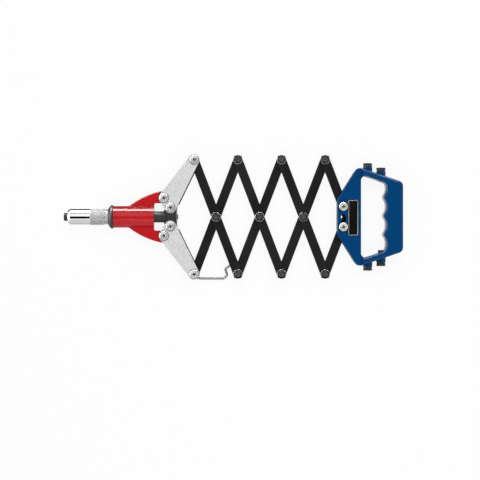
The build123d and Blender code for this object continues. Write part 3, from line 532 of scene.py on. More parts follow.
def make_bars():
    """The six full bars and the two half bars."""
    for stage in range(3):
        start_hole = SCREW_HOLE if stage == 0 else PIN_HOLE
        for kind, (start, end) in (("a", (uppers[stage], lowers[stage + 1])),
                                   ("b", (lowers[stage], uppers[stage + 1]))):
            holes = [(start, start_hole), (MIDDLE[stage], PIN_HOLE), (end, PIN_HOLE)]
            bar(f"bar_{kind}{stage + 1}", (start, end), holes)
    for kind, start, screw in (("a", uppers[3], HANDLE_UPPER), ("b", lowers[3], HANDLE_LOWER)):
        along = (screw - start).normalized()
        end = screw + along * HALF_BAR_TAIL
        bar(f"half_bar_{kind}", (start, end), [(start, PIN_HOLE), (screw, HANDLE_SCREW_HOLE)])


# Pins and clips

PIN_BODY_EDGE = 0.45 * MM
PIN_DIMPLE_DEPTH = 0.35 * MM
PIN_DIMPLE_SHARES = (0.45, 0.3)
PIN_END_SHARE = 0.5
PIN_HEAD_RADIUS = 4.6 * MM
PIN_HEAD_THICK = 2.0 * MM
GROOVE_RADIUS = 2.9 * MM
CATCH_RADIUS = 2.5 * MM
CLIP_RADIUS = 5.4 * MM
CLIP_INNER = 3.0 * MM
CLIP_BAND = 4.4 * MM
CLIP_PRONG_HALF = 0.45 * MM
CLIP_PRONG_TURN = 0.35
CLIP_PRONG_OVERLAP = 0.2 * MM
CLIP_PRONG_INSET = 0.1 * MM
CLIP_EAR_REACH = 0.5 * MM
CLIP_EAR_SWEEP = math.radians(16)
OPEN_MOUTH_HALF = math.radians(38)
RING_MOUTH_HALF = math.radians(8)
BAND_STEPS = 56
EAR_STEPS = 6
PRONG_STEPS = 4


def pin_piece(node, centre, clip_node):
    """A headed pin with a groove for its clip and a dimple in its near end.

    One lower pin also has the stub that the wire hook catches."""
    low, high = heights(node)
    clip_low, clip_high = heights(clip_node)
    head_low = heights("lower_pin_1")[0]
    seat = head_low + PIN_HEAD_THICK
    corners = []
    if node == "lower_pin_2":
        corners += [(low, CATCH_RADIUS), (head_low, CATCH_RADIUS)]
    corners += [
        (head_low, PIN_HEAD_RADIUS),
        (seat, PIN_HEAD_RADIUS),
        (seat, PIN_RADIUS),
        (clip_low, PIN_RADIUS),
        (clip_low, GROOVE_RADIUS),
        (clip_high, GROOVE_RADIUS),
        (clip_high, PIN_RADIUS),
        (high, PIN_RADIUS),
    ]
    start = (corners[0][0], corners[0][1] * PIN_END_SHARE)
    dimple = [(high, PIN_RADIUS * PIN_DIMPLE_SHARES[0])]
    dimple.append((high - PIN_DIMPLE_DEPTH, PIN_RADIUS * PIN_DIMPLE_SHARES[1]))
    profile = softened([start] + corners + dimple, PIN_BODY_EDGE, loop=False)
    turned(node, profile, ROUND_STEPS, over(centre) @ UPRIGHT, [PIN], closed=False)


def arc_band(centre, inner, outer, start, end, steps):
    """The outline of a band between two radii, from one angle to another, anticlockwise."""
    turns = [start + (end - start) * k / steps for k in range(steps + 1)]
    ring = [(turn, outer) for turn in turns] + [(turn, inner) for turn in reversed(turns)]
    return [on_circle(centre, reach, turn) for turn, reach in ring]


def clip_piece(node, centre, outward_turn, open_clip):
    """A spring-steel clip in a pin's groove.

    A thin bright band stands on three dark prongs; an open clip ends in two dark ears."""
    low, high = heights(node)
    half = OPEN_MOUTH_HALF if open_clip else RING_MOUTH_HALF
    ear = CLIP_EAR_SWEEP if open_clip else 0
    start = outward_turn + half
    end = outward_turn + 2 * math.pi - half
    band_start = start + ear
    band_end = end - ear
    bm = bmesh.new()
    band = arc_band(centre, CLIP_BAND, CLIP_RADIUS, band_start, band_end, BAND_STEPS)
    plate_mesh(bm, band, [], low, high, FINE_EDGE)
    bright = len(bm.faces)
    if open_clip:
        reach = CLIP_RADIUS + CLIP_EAR_REACH
        for first, last in ((start, band_start), (band_end, end)):
            ear_band = arc_band(centre, CLIP_BAND, reach, first, last, EAR_STEPS)
            plate_mesh(bm, ear_band, [], low, high, FINE_EDGE)
    sweep = CLIP_PRONG_HALF / CLIP_INNER
    reach = CLIP_BAND + CLIP_PRONG_OVERLAP
    for turn in (start + CLIP_PRONG_TURN, outward_turn + math.pi, end - CLIP_PRONG_TURN):
        prong = arc_band(centre, CLIP_INNER, reach, turn - sweep, turn + sweep, PRONG_STEPS)
        plate_mesh(bm, prong, [], low + CLIP_PRONG_INSET, high - CLIP_PRONG_INSET, THIN_EDGE)
    bm.faces.ensure_lookup_table()
    for face in bm.faces[bright:]:
        face.material_index = 1
    stands_for(to_piece("stamped_" + node, bm, [CLIP, CLIP_DARK]), node)


def make_pivots():
    """A pin and a clip at each of the nine pivots."""
    up = math.pi / 2
    for stage in range(3):
        for side, places, turn, is_open in (("upper", UP, up, True), ("lower", LOW, -up, True),
                                            ("middle", MIDDLE, up, False)):
            clip = f"{side}_clip_{stage + 1}"
            pin_piece(f"{side}_pin_{stage + 1}", places[stage], clip)
            clip_piece(clip, places[stage], turn, is_open)


# Head arms

HEAD_UPPER = pivots["fold"]
HEAD_LOWER = pivots["lower_arm_pivot"]


def arm_places(side):
    """The head, crank and tong pivots of one arm."""
    head = HEAD_UPPER if side > 0 else HEAD_LOWER
    tong = UP_0 if side > 0 else LOW_0
    crank = Vector((head.x + CRANK_OFFSET.x, head.y + side * CRANK_OFFSET.y))
    return [Vector((place.x, place.y)) for place in (head, crank, tong)]


def arm_plate(node, side):
    """One silver plate of an arm, with its three holes."""
    head, crank, tong = arm_places(side)
    circles = [(*crank, CHEEK_R_CRANK), (*tong, CHEEK_R_TONG), (*head, CHEEK_R_HEAD)]
    if side < 0:
        circles.reverse()
    holes = [circle(place, SCREW_HOLE, HOLE_STEPS) for place in (head, crank, tong)]
    plate("cut_", node, stretched(circles, ARM_END_STEPS), holes, PLATE_EDGE, SILVER)


def make_arms():
    """The four silver plates; the spacers between them keep their solids."""
    for name, side in (("upper", 1), ("lower", -1)):
        arm_plate(f"{name}_arm_top_plate", side)
        arm_plate(f"{name}_arm_bottom_plate", side)
        dress(BLACK, f"{name}_arm_spacer")
    dress(ZINC, "lower_arm_stud", "lower_bar_eye_pin")


# Screws and nuts

THREAD_PITCH = 0.8 * MM
THREAD_DEPTH = 0.3 * MM
THREAD_ROWS = 6
THREAD_RUNOUT = 0.5 * MM
SCREW_TIP = 0.5 * MM
SCREW_TIP_SHARE = 0.72
RECESS_HALF_TOP = 2.5 * MM
RECESS_HALF_BOTTOM = 1.1 * MM
RECESS_WIDTH = 1.5 * MM
RECESS_DEPTH = 1.6 * MM

# The cutter starts above the head, where it is larger
RECESS_LIFT = 1.0 * MM
RECESS_FLARE = 1.3
RECESS_WIDENING = 1.1
RECESS_NARROWING = 0.6

HEAD_RADIUS = 5.2 * MM
HEAD_FLAT_RADIUS = 3.0 * MM
HEAD_CROWN = 0.5 * MM
HEAD_UNDERCUT = 0.3 * MM
HEAD_UNDERCUT_RISE = 0.25 * MM
HEAD_STEPS = 10
CROWN_STEPS = 6
NUT_CHAMFER = 0.35 * MM
NUT_SIDE_STEPS = 10


def thread_relief(start, end):
    """A helical thread between two heights along the screw."""
    def relief(along, radius, turn):
        if not start <= along <= end:
            return 0.0
        phase = (along / THREAD_PITCH + turn / (2 * math.pi)) % 1.0
        return -THREAD_DEPTH * abs(2 * phase - 1)
    return relief


def recess_cutter(top, turn):
    """The tapered cross that cuts a screw's recess, about the origin."""
    bm = bmesh.new()
    mouth = (top + RECESS_LIFT, RECESS_HALF_TOP * RECESS_FLARE, RECESS_WIDTH * RECESS_WIDENING)
    bottom = (top - RECESS_DEPTH, RECESS_HALF_BOTTOM, RECESS_WIDTH * RECESS_NARROWING)
    for blade in (0, math.pi / 2):
        corners = []
        for z, half, width in (mouth, bottom):
            for x, y in ((-half, -width / 2), (half, -width / 2), (half, width / 2), (-half, width / 2)):
                spot = Matrix.Rotation(turn + blade, 4, "Z") @ Vector((x, y, z))
                corners.append(bm.verts.new(spot))
        top_ring, low_ring = corners[:4], corners[4:]
        bm.faces.new(top_ring)
        bm.faces.new(list(reversed(low_ring)))
        for i in range(4):
            k = (i + 1) % 4
            bm.faces.new((top_ring[i], low_ring[i], low_ring[k], top_ring[k]))
    bmesh.ops.recalc_face_normals(bm, faces=bm.faces)
    return to_piece("cutter", bm, [])


def mesh_made_by(helper):
    """The mesh that a helper's modifiers or curve make; the helper goes."""
    graph = bpy.context.evaluated_depsgraph_get()
    mesh = bpy.data.meshes.new_from_object(helper.evaluated_get(graph))
    bpy.data.objects.remove(helper)
    return mesh


def screw_mesh(low, base, top, shank, rim, turn, thread_end):
    """A pan-head screw about the origin, with a cross recess and a thread at its end."""
    shoulder = HEAD_RADIUS - HEAD_FLAT_RADIUS
    fall = top - HEAD_CROWN - base - rim
    threaded = thread_end - low - SCREW_TIP
    steps = int((thread_end - low) / THREAD_PITCH * THREAD_ROWS)
    profile = [(low, shank * SCREW_TIP_SHARE), (low + SCREW_TIP, shank)]
    profile += [(low + SCREW_TIP + threaded * k / steps, shank) for k in range(1, steps + 1)]
    profile += [(base, shank), (base, HEAD_RADIUS - HEAD_UNDERCUT)]
    profile += [(base + HEAD_UNDERCUT_RISE, HEAD_RADIUS), (base + rim, HEAD_RADIUS)]
    for k in range(1, HEAD_STEPS + 1):
        rise = math.pi / 2 * k / HEAD_STEPS
        profile.append((base + rim + fall * math.sin(rise), HEAD_FLAT_RADIUS + shoulder * math.cos(rise)))
    for k in range(1, CROWN_STEPS + 1):
        share = 1 - k / (CROWN_STEPS + 0.5)
        profile.append((top - HEAD_CROWN * share ** 2, HEAD_FLAT_RADIUS * share))
    bm = bmesh.new()
    turned_mesh(bm, profile, ROUND_STEPS, UPRIGHT, relief=thread_relief(low, thread_end), closed=False)
    screw = to_piece("screw", bm, [ZINC])
    cutter = recess_cutter(top, turn)
    cut = screw.modifiers.new("recess", "BOOLEAN")
    cut.operation = "DIFFERENCE"
    cut.solver = "EXACT"
    cut.use_self = True
    cut.object = cutter
    mesh = mesh_made_by(screw)
    bpy.data.objects.remove(cutter)
    return mesh


def joined(name, meshes, node):
    """One bright piece in a node's place, from several (mesh, place) pairs."""
    bm = bmesh.new()
    for mesh, place in meshes:
        copy = mesh.copy()
        copy.transform(place)
        bm.from_mesh(copy)
        bpy.data.meshes.remove(copy)
    stands_for(to_piece(name, bm, [ZINC]), node)


def nut_mesh(width, low, high, bore):
    """A six-sided nut with its corners turned off, about the origin."""
    bm = bmesh.new()
    corner = width / 2 / math.cos(math.pi / 6)
    count = 6 * NUT_SIDE_STEPS
    turns = [2 * math.pi * i / count for i in range(count)]
    sides = [(low, width / 2), (low + NUT_CHAMFER, corner), (high - NUT_CHAMFER, corner), (high, width / 2)]
    rings = []
    for z, limit in sides:
        ring = []
        for turn in turns:
            local = (turn % (math.pi / 3)) - math.pi / 6
            flat = width / 2 / math.cos(local)
            reach = min(flat, limit)
            ring.append(bm.verts.new((reach * math.cos(turn), reach * math.sin(turn), z)))
        rings.append(ring)
    for z in (high, low):
        rings.append([bm.verts.new((bore * math.cos(turn), bore * math.sin(turn), z)) for turn in turns])
    for first, second in zip(rings, rings[1:] + rings[:1]):
        for i in range(count):
            k = (i + 1) % count
            bm.faces.new((first[i], first[k], second[k], second[i])).smooth = True
    bmesh.ops.recalc_face_normals(bm, faces=bm.faces)
    piece = to_piece("nut", bm, [ZINC], NUT_SHARP)
    mesh = piece.data
    bpy.data.objects.remove(piece)
    return mesh


ARM_SCREW_RADIUS = 2.5 * MM
ARM_SCREW_RIM = 1.1 * MM
ARM_SCREW_GAP = 0.05 * MM
SHORT_SCREW_GAP = 0.02 * MM
SHORT_SCREW_THREAD = 0.8 * MM
ARM_NUT_WIDTH = 8.0 * MM
ARM_NUT_BORE = 2.55 * MM
ARM_NUT_TURN = 0.3
ARM_RECESS_TURNS = {"upper": (0.45, 0.35, 0.15), "lower": (0.40, 0.25, 0.30)}


def make_arm_screws():
    """Three screws and three nuts on each arm; the lower arm's tong screw is short."""
    base = heights("upper_arm_top_plate")[1] + ARM_SCREW_GAP
    whole_low, top = heights("upper_arm_screws")
    nut_low, nut_high = heights("upper_arm_nuts")
    short_low = heights("bar_a1")[0]
    hung_low = heights("lower_arm_nuts")[0]
    thick = nut_high - nut_low
    for name, side in (("upper", 1), ("lower", -1)):
        screws = []
        nuts = []
        for number, centre in enumerate(arm_places(side)):
            short = side < 0 and number == 2
            low = short_low + SHORT_SCREW_GAP if short else whole_low
            thread_end = low + SHORT_SCREW_THREAD if short else nut_high + THREAD_RUNOUT
            screw = screw_mesh(low, base, top, ARM_SCREW_RADIUS, ARM_SCREW_RIM,
                               ARM_RECESS_TURNS[name][number], thread_end)
            screws.append((screw, over(centre)))
            bottom = hung_low if short else nut_low
            nut = nut_mesh(ARM_NUT_WIDTH, bottom, bottom + thick, ARM_NUT_BORE)
            nuts.append((nut, over(centre) @ Matrix.Rotation(ARM_NUT_TURN + number, 4, "Z")))
        joined(f"pan_head_{name}_arm_screws", screws, f"{name}_arm_screws")
        joined(f"hex_{name}_arm_nuts", nuts, f"{name}_arm_nuts")


HANDLE_SCREW_RADIUS = 2.7 * MM
HANDLE_SCREW_RIM = 1.0 * MM
HANDLE_NUT_WIDTH = 9.0 * MM
HANDLE_NUT_BORE = 2.75 * MM
HANDLE_RECESS_TURNS = {"pivot": 0.25, "slot": 0.20}


def make_handle_screws():
    """The handle's two screws and their nuts."""
    base = heights("nameplate")[0]
    for name, centre in (("pivot", HANDLE_UPPER), ("slot", HANDLE_LOWER)):
        low, high = heights(f"handle_{name}_screw")
        nut_low, nut_high = heights(f"handle_{name}_nut")
        screw = screw_mesh(low, base, high, HANDLE_SCREW_RADIUS, HANDLE_SCREW_RIM,
                           HANDLE_RECESS_TURNS[name], nut_high + THREAD_RUNOUT)
        joined(f"pan_head_{name}", [(screw, over(centre))], f"handle_{name}_screw")
        nut = nut_mesh(HANDLE_NUT_WIDTH, nut_low, nut_high, HANDLE_NUT_BORE)
        joined(f"hex_{name}", [(nut, over(centre))], f"handle_{name}_nut")


# Nose

SLEEVE_SEGMENTS = 464
SLEEVE_BORE = 6.5 * MM
SLEEVE_FRONT_BORE = 3.55 * MM
SLEEVE_FRONT_DEPTH = 6.2 * MM
SLEEVE_CONE_LENGTH = 2.4 * MM
SLEEVE_CONE_DROP = 1.6 * MM
SLEEVE_FRONT_SOFT = 0.35 * MM
SLEEVE_NECK = 8.5 * MM
SLEEVE_SHANK = 8.0 * MM
SLEEVE_REAR_SOFT = 0.2 * MM
SLEEVE_RING_GAP = 0.05 * MM

# Rings near both ends of the polished length, that keep its reflections even
EVEN_FROM = 3.2 * MM
EVEN_TO = 0.9 * MM

KNURL_DEPTH = 0.3 * MM
KNURL_FRONT = 25.5 * MM
KNURL_LENGTH = 14.9 * MM
KNURL_EDGE = 0.2 * MM
KNURL_INSET = 0.1 * MM
KNURL_ROWS = 72
KNURL_TEETH = 58
KNURL_PITCHES = 15
NECK_FLARE = 0.35 * MM
NECK_FROM = 0.4 * MM
NECK_SPAN = 2.6 * MM
NECK_ROWS = 20
NECK_HOLES = 10
NECK_HOLE_PLACE = 1.6 * MM
NECK_HOLE_RADIUS = 0.9 * MM
NECK_HOLE_DEPTH = 1.2 * MM
NECK_HOLE_TURN = math.radians(95)


def diamond(teeth, pitch, depth):
    """The relief of a diamond knurl: pyramids between two sets of crossing grooves."""
    def relief(along, radius, turn):
        around = teeth * turn / (2 * math.pi)
        lean = along / pitch
        first = abs(2 * ((around + lean) % 1.0) - 1)
        second = abs(2 * ((around - lean) % 1.0) - 1)
        return -depth * max(first, second)
    return relief


def make_sleeve():
    """The chrome sleeve: polished front, knurled band, plain neck with holes for a turning rod."""
    low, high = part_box("nose_sleeve")
    front = low.x
    axis, radius = axis_and_radius("nose_sleeve")
    knurl_front = front + KNURL_FRONT
    knurl_rear = knurl_front + KNURL_LENGTH
    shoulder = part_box("lock_ring")[0].x - SLEEVE_RING_GAP
    start = knurl_front + KNURL_INSET
    run = KNURL_LENGTH - 2 * KNURL_INSET
    body = softened([
        (front, SLEEVE_FRONT_BORE),
        (front, radius - SLEEVE_CONE_DROP),
        (front + SLEEVE_CONE_LENGTH, radius),
        (front + EVEN_FROM, radius),
        (knurl_front - EVEN_TO, radius),
        (knurl_front - KNURL_EDGE, radius),
        (knurl_front, radius - KNURL_DEPTH),
    ], SLEEVE_FRONT_SOFT, loop=False)
    body += [(start + run * k / KNURL_ROWS, radius) for k in range(KNURL_ROWS + 1)]
    end = body[-1][0]
    body += [(knurl_rear, radius - KNURL_DEPTH), (knurl_rear + NECK_FLARE, SLEEVE_NECK)]
    neck_start = knurl_rear + NECK_FROM
    body += [(neck_start + NECK_SPAN * k / NECK_ROWS, SLEEVE_NECK) for k in range(NECK_ROWS + 1)]
    body += softened([
        (shoulder, SLEEVE_NECK),
        (shoulder, SLEEVE_SHANK),
        (high.x, SLEEVE_SHANK),
        (high.x, SLEEVE_BORE),
        (front + SLEEVE_FRONT_DEPTH, SLEEVE_BORE),
        (front + SLEEVE_FRONT_DEPTH, SLEEVE_FRONT_BORE),
    ], SLEEVE_REAR_SOFT, loop=False)
    cross = diamond(KNURL_TEETH, KNURL_LENGTH / KNURL_PITCHES, KNURL_DEPTH)
    hole_place = knurl_rear + NECK_HOLE_PLACE
    hole_step = 2 * math.pi / NECK_HOLES

    def relief(along, reach, turn):
        if start <= along <= end and reach > SLEEVE_NECK:
            return cross(along, reach, turn)
        if neck_start <= along < shoulder and reach == SLEEVE_NECK:
            aside = (turn - NECK_HOLE_TURN + hole_step / 2) % hole_step - hole_step / 2
            apart = math.hypot(along - hole_place, aside * SLEEVE_NECK)
            return -NECK_HOLE_DEPTH if apart < NECK_HOLE_RADIUS else 0.0
        return 0.0

    def slot_at(along):
        return 1 if start <= along < shoulder else 0

    place = Matrix.Translation((0, 0, axis))
    turned("nose_sleeve", body, SLEEVE_SEGMENTS, place, [CHROME, KNURLED], KNURL_SHARP,
           relief=relief, slots_at=slot_at)


RING_SEGMENTS = 128
RING_BORE = 8.05 * MM
RING_BEVEL_LENGTH = 2.9 * MM
RING_BEVEL_DROP = 3.6 * MM
RING_CHAMFER = 0.6 * MM
RING_SOFT = 0.4 * MM


def make_lock_ring():
    """The dark ring with its bevelled front."""
    low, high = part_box("lock_ring")
    axis, radius = axis_and_radius("lock_ring")
    profile = softened([
        (low.x, RING_BORE),
        (low.x, radius - RING_BEVEL_DROP),
        (low.x + RING_BEVEL_LENGTH, radius),
        (high.x - RING_CHAMFER, radius),
        (high.x, radius - RING_CHAMFER),
        (high.x, RING_BORE),
    ], RING_SOFT)
    turned("lock_ring", profile, RING_SEGMENTS, Matrix.Translation((0, 0, axis)), [RING])


NOSEPIECE_SHANK = 3.5 * MM
NOSEPIECE_CHAMFER = 0.5 * MM
NOSEPIECE_TAPER = 2.7 * MM
COLLAR_STEP = 0.5 * MM
COLLAR_LENGTH = 1.1 * MM
TAIL_RADIUS = 2.5 * MM
TAIL_WALL = 0.2 * MM


def nosepiece_profile(front, head_radius, head_length, shank_length, bore):
    """A nosepiece's corners along local +X, from its face to its tail."""
    collar = head_radius - COLLAR_STEP
    back = front + head_length
    tip = back + shank_length + NOSEPIECE_TAPER
    return [
        (front, bore),
        (front, collar - NOSEPIECE_CHAMFER),
        (front + NOSEPIECE_CHAMFER, head_radius),
        (back - COLLAR_LENGTH, head_radius),
        (back - COLLAR_LENGTH, collar),
        (back, collar),
        (back, NOSEPIECE_SHANK),
        (back + shank_length, NOSEPIECE_SHANK),
        (tip, max(TAIL_RADIUS, bore + TAIL_WALL)),
        (tip, bore),
    ]


FITTED_SEGMENTS = 64
FITTED_HEAD_LENGTH = 4.85 * MM
FITTED_SHANK_LENGTH = 8.2 * MM
FITTED_BORE = 1.65 * MM
FITTED_SOFT = 0.3 * MM


def make_fitted_nosepiece():
    """The dark nosepiece in the sleeve's front."""
    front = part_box("fitted_nosepiece")[0].x
    axis, radius = axis_and_radius("fitted_nosepiece")
    corners = nosepiece_profile(front, radius, FITTED_HEAD_LENGTH, FITTED_SHANK_LENGTH, FITTED_BORE)
    place = Matrix.Translation((0, 0, axis))
    turned("fitted_nosepiece", softened(corners, FITTED_SOFT), FITTED_SEGMENTS, place, [DARK])


SPARE_SEGMENTS = 204
SPARE_HEAD_RADIUS = 5.2 * MM
SPARE_HEAD_LENGTH = 4.15 * MM
SPARE_BORES = (1.25 * MM, 2.05 * MM, 2.45 * MM, 3.0 * MM)
SPARE_SOFT = 0.2 * MM
SPARE_KNURL_INSET = 0.15 * MM
SPARE_ROWS = 16
SPARE_TEETH = 34
SPARE_PITCHES = 3


def make_spares():
    """Four spare nosepieces with knurled heads."""
    for number, bore in enumerate(SPARE_BORES, start=1):
        node = f"spare_nosepiece_{number}"
        low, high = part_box(node)
        centre = (low + high) / 2
        side = 1 if centre.y > 0 else -1
        face = high.y if side > 0 else low.y
        shank = high.y - low.y - SPARE_HEAD_LENGTH - NOSEPIECE_TAPER
        corners = nosepiece_profile(0.0, SPARE_HEAD_RADIUS, SPARE_HEAD_LENGTH, shank, bore)
        start = corners[2][0] + SPARE_KNURL_INSET
        end = corners[3][0] - SPARE_KNURL_INSET
        rows = [start + (end - start) * k / SPARE_ROWS for k in range(SPARE_ROWS + 1)]
        profile = softened(corners[:3], SPARE_SOFT, loop=False)
        profile += [(row, SPARE_HEAD_RADIUS) for row in rows]
        profile += softened(corners[3:], SPARE_SOFT, loop=False)
        cross = diamond(SPARE_TEETH, (end - start) / SPARE_PITCHES, KNURL_DEPTH)

        def relief(along, reach, turn):
            return cross(along, reach, turn) if start <= along <= end else 0.0

        place = Matrix.Translation((centre.x, face, centre.z)) @ Matrix.Rotation(-side * math.pi / 2, 4, "Z")
        turned(node, profile, SPARE_SEGMENTS, place, [DARK], KNURL_SHARP, relief=relief)


# Wire hook

EYE_RADIUS = 4.05 * MM
EYE_STEPS = 44

# Where the eye's wire starts and how far it turns, in degrees
EYE_START = -60
EYE_SWEEP = 330

HOOK_BEND = 1.9 * MM
HOOK_BEND_STEPS = 8
WIRE_FACETS = 6

# Where the wire bends, in millimetres from the eye's centre
HOOK_POINTS = ((7.0, -5.2), (34.0, -5.2), (37.65, -1.2), (35.15, 5.6), (42.2, 11.0))


def filleted(points, radius):
    """Straight runs joined by arcs."""
    path = [points[0]]
    for before, here, after in zip(points, points[1:], points[2:]):
        back = (before - here).normalized()
        ahead = (after - here).normalized()
        half = back.angle(ahead) / 2
        cut = radius / math.tan(half)
        centre = here + (back + ahead).normalized() * (radius / math.sin(half))
        start = (here + back * cut - centre).normalized()
        end = (here + ahead * cut - centre).normalized()
        for k in range(HOOK_BEND_STEPS + 1):
            path.append(centre + start.slerp(end, k / HOOK_BEND_STEPS) * radius)
    path.append(points[-1])
    return path


def make_hook():
    """The bent wire that holds the tongs folded, with its eye round the stud."""
    axis, wire_radius = axis_and_radius("wire_hook")
    turns = [math.radians(EYE_START + EYE_SWEEP * k / EYE_STEPS) for k in range(EYE_STEPS)]
    eye = [Vector((*on_circle(LOW_0, EYE_RADIUS, turn), axis)) for turn in turns]
    run = [Vector((LOW_0.x, LOW_0.y - EYE_RADIUS, axis))]
    run += [Vector((LOW_0.x + x * MM, LOW_0.y + y * MM, axis)) for x, y in HOOK_POINTS]
    path = eye + filleted(run, HOOK_BEND)
    curve = bpy.data.curves.new("bent_wire_hook", "CURVE")
    curve.dimensions = "3D"
    curve.bevel_depth = wire_radius
    curve.bevel_resolution = WIRE_FACETS
    curve.use_fill_caps = True
    spline = curve.splines.new("POLY")
    spline.points.add(len(path) - 1)
    for point, spot in zip(spline.points, path):
        point.co = (*spot, 1.0)
    helper = bpy.data.objects.new("helper", curve)
    scene.collection.objects.link(helper)
    mesh = mesh_made_by(helper)
    mesh.name = "bent_wire_hook"
    mesh.materials.clear()
    mesh.materials.append(WIRE)
    for polygon in mesh.polygons:
        polygon.use_smooth = True
    mesh.set_sharp_from_angle(angle=math.radians(WIRE_SHARP))
    piece = bpy.data.objects.new("bent_wire_hook", mesh)
    scene.collection.objects.link(piece)
    stands_for(piece, "wire_hook")


# Nameplate

RIM_WIDTH = 0.9 * MM
RIM_RISE = 0.3 * MM
RIM_OVERLAP = 0.02 * MM
PLATE_CORNER = 1.5 * MM
PLATE_CORNER_STEPS = 6


def rounded_box(low, high, radius):
    """A rectangle's outline with round corners, anticlockwise."""
    points = []
    corners = ((high.x - radius, high.y - radius, 0.0), (low.x + radius, high.y - radius, 0.5),
               (low.x + radius, low.y + radius, 1.0), (high.x - radius, low.y + radius, 1.5))
    for x, y, start in corners:
        for k in range(PLATE_CORNER_STEPS + 1):
            turn = math.pi * (start + 0.5 * k / PLATE_CORNER_STEPS)
            points.append(on_circle((x, y), radius, turn))
    return points


def make_nameplate():
    """A bare black plate with a raised silver rim."""
    low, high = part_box("nameplate")
    outer = rounded_box(low, high, PLATE_CORNER)
    bm = bmesh.new()
    plate_mesh(bm, outer, [inset(outer, RIM_WIDTH)], low.z, high.z, FINE_EDGE)
    for face in bm.faces:
        face.material_index = 1
    rim_faces = len(bm.faces)
    plate_mesh(bm, inset(outer, RIM_WIDTH - RIM_OVERLAP), [], low.z, high.z - RIM_RISE, THIN_EDGE)
    bm.faces.ensure_lookup_table()
    for face in bm.faces[rim_faces:]:
        face.material_index = 0
    stands_for(to_piece("bare_nameplate", bm, [PLATE_BLACK, PLATE_RIM]), "nameplate")


# Everything together

def dress_rest():
    """Materials for the nodes whose solids are shown as they are."""
    dress(RED, "head_casting")
    dress(CROSSHEAD_BLACK, "crosshead")
    dress(BLUE, "handle_casting")
    dress(DARK, "draw_rod")
    dress(ZINC, "jaw_spring")
    dress(KNURLED, "jaw_case")
    dress(DARK, "jaws", "jaw_pusher")


make_bars()
make_pivots()
make_arms()
make_arm_screws()
make_handle_screws()
make_sleeve()
make_lock_ring()
make_fitted_nosepiece()
make_spares()
make_hook()
make_nameplate()
dress_rest()


# Camera, floor and light

CAMERA_PLACE = (0.0079, -0.0264, 1.8135)
CAMERA_LENS = 118.0
SENSOR = 36.0
FAR_CLIP = 20.0
FLOOR_HALF = 3.0
FLOOR_GLOW = 0.9
FLOOR_SHADE = 0.85
WORLD_LIGHT = 0.45
WHITE = (1.0, 1.0, 1.0, 1.0)


def make_camera():
    """Straight down from well above, so that walls show only a little."""
    data = bpy.data.cameras.new("camera")
    data.lens = CAMERA_LENS
    data.sensor_width = SENSOR
    data.clip_end = FAR_CLIP
    camera = bpy.data.objects.new("camera", data)
    camera.location = CAMERA_PLACE
    scene.collection.objects.link(camera)
    scene.camera = camera


def seen_directly(tree):
    """1 for rays from the camera, off gloss or through glass."""
    path = tree.nodes.new("ShaderNodeLightPath")
    total = path.outputs["Is Camera Ray"]
    for name in ("Is Glossy Ray", "Is Transmission Ray"):
        most = tree.nodes.new("ShaderNodeMath")
        most.operation = "MAXIMUM"
        tree.links.new(total, most.inputs[0])
        tree.links.new(path.outputs[name], most.inputs[1])
        total = most.outputs[0]
    return total


def make_floor():
    """A white table that keeps a faint shadow."""
    half = FLOOR_HALF
    corners = [(-half, -half), (half, -half), (half, half), (-half, half)]
    bm = bmesh.new()
    bm.faces.new([bm.verts.new((x, y, cad_box[0].z)) for x, y in corners])
    material = bpy.data.materials.new("white_table")
    material.use_nodes = True
    tree = material.node_tree
    tree.nodes.clear()
    output = tree.nodes.new("ShaderNodeOutputMaterial")
    matt = tree.nodes.new("ShaderNodeBsdfDiffuse")
    matt.inputs["Color"].default_value = (*grey(FLOOR_SHADE), 1.0)
    glow = tree.nodes.new("ShaderNodeEmission")
    glow.inputs["Color"].default_value = WHITE
    mix = tree.nodes.new("ShaderNodeMixShader")
    share = spread(tree, seen_directly(tree), 0.0, 1.0, 0.0, FLOOR_GLOW)
    tree.links.new(share, mix.inputs["Fac"])
    tree.links.new(matt.outputs["BSDF"], mix.inputs[1])
    tree.links.new(glow.outputs["Emission"], mix.inputs[2])
    tree.links.new(mix.outputs["Shader"], output.inputs["Surface"])
    to_piece("table", bm, [material])


def make_world():
    """White where it is seen, and a softer light on the object."""
    world = bpy.data.worlds.new("studio")
    scene.world = world
    world.cycles.sampling_method = "NONE"
    world.use_nodes = True
    tree = world.node_tree
    tree.nodes.clear()
    output = tree.nodes.new("ShaderNodeOutputWorld")
    background = tree.nodes.new("ShaderNodeBackground")
    background.inputs["Color"].default_value = WHITE
    strength = spread(tree, seen_directly(tree), 0.0, 1.0, WORLD_LIGHT, 1.0)
    tree.links.new(strength, background.inputs["Strength"])
    tree.links.new(background.outputs["Background"], output.inputs["Surface"])


def area_light(name, place, target, size, watts, in_gloss=True, in_diffuse=True):
    """A soft box that faces a point."""
    data = bpy.data.lights.new(name, "AREA")
    data.shape = "RECTANGLE"
    data.size, data.size_y = size
    data.energy = watts
    light = bpy.data.objects.new(name, data)
    light.location = place
    light.rotation_mode = "QUATERNION"
    light.rotation_quaternion = (Vector(target) - Vector(place)).to_track_quat("-Z", "Y")
    light.visible_glossy = in_gloss
    light.visible_diffuse = in_diffuse
    scene.collection.objects.link(light)


CARD_CLOUD_SCALE = 4.0
CARD_UNEVENNESS = 1.1
CARD_HEIGHT = 1.2
STANDING_HALF = 1.6
STRIP_HEIGHT = 0.5 * MM
FILL_SIZE = (1.4, 0.8)
TABLE_MIDDLE = (0.0, 0.0, 0.0)
TOOL_MIDDLE = (0.0, 0.0, 0.02)


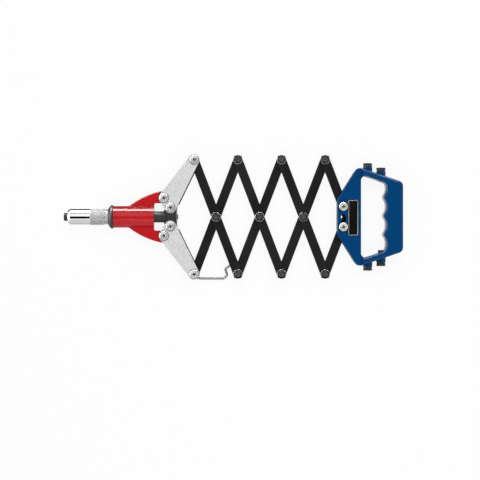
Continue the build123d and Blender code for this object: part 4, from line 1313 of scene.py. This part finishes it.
def gloss_card(name, corners, level):
    """A glowing card of an even grey that only gloss and metal show: a painted reflection that the camera
    does not see and that casts no shadow.
    """
    bm = bmesh.new()
    bm.faces.new([bm.verts.new(corner) for corner in corners])
    material, tree, shader = new_shader(name)
    shader.inputs["Base Color"].default_value = (*grey(0.0), 1.0)
    shader.inputs["Specular IOR Level"].default_value = 0.0
    cloud = spread(tree, noise(tree, CARD_CLOUD_SCALE), *CLOUD_SPAN)
    shades = blend_colours(tree, cloud, grey(level), grey(level * CARD_UNEVENNESS))
    tree.links.new(shades, shader.inputs["Emission Color"])
    shader.inputs["Emission Strength"].default_value = 1.0
    card = to_piece(name, bm, [material])
    card.visible_camera = False
    card.visible_diffuse = False
    card.visible_shadow = False
    card.visible_transmission = False


def flat_card(name, low, high, z, level):
    """A level card between two corners."""
    corners = [(low[0], low[1], z), (high[0], low[1], z), (high[0], high[1], z), (low[0], high[1], z)]
    gloss_card(name, corners, level)


def standing_card(name, y, bottom, top, level):
    """A wide card that stands across the view at y."""
    half = STANDING_HALF
    corners = [(-half, y, bottom), (half, y, bottom), (half, y, top), (-half, y, top)]
    gloss_card(name, corners, level)


def make_cards():
    """Painted reflections: dark cards above for the flat faces and the chrome's stripe, grey ones round the
    table. The strips lying on the table paint a darker, shaded table beside the nose.
    """
    flat_card("nose_card", (-0.80, -0.56), (-0.105, 0.13), CARD_HEIGHT, 0.004)
    flat_card("main_card", (-0.10, -0.55), (0.75, 0.55), CARD_HEIGHT, 0.012)
    standing_card("front_card", -1.1, 0.0, 1.5, 0.60)
    standing_card("back_card", 0.95, 0.36, 0.80, 0.10)
    # These strips paint the table's shade beside the nose into the chrome's reflections.
    flat_card("near_strip", (-0.26, 0.010), (-0.10, 0.060), STRIP_HEIGHT, 0.08)
    flat_card("front_strip", (-0.26, -0.50), (-0.10, -0.020), STRIP_HEIGHT, 0.54)


def make_lights():
    """Two high fills, and low boxes behind and left of the tool that draw the highlights."""
    area_light("fill_back", (0.1, 0.85, 1.5), TABLE_MIDDLE, FILL_SIZE, 14.0, in_gloss=False)
    area_light("fill_front", (0.1, -0.85, 1.5), TABLE_MIDDLE, FILL_SIZE, 11.0, in_gloss=False)
    area_light("back_box", (-0.05, 0.85, 0.17), TOOL_MIDDLE, (1.8, 0.30), 44.0, in_diffuse=False)
    area_light("left_box", (-0.9, 0.1, 0.30), TOOL_MIDDLE, (0.9, 0.30), 14.0, in_diffuse=False)


make_camera()
make_floor()
make_world()
make_cards()
make_lights()
scene.view_settings.view_transform = "Standard"

bpy.context.view_layer.update()
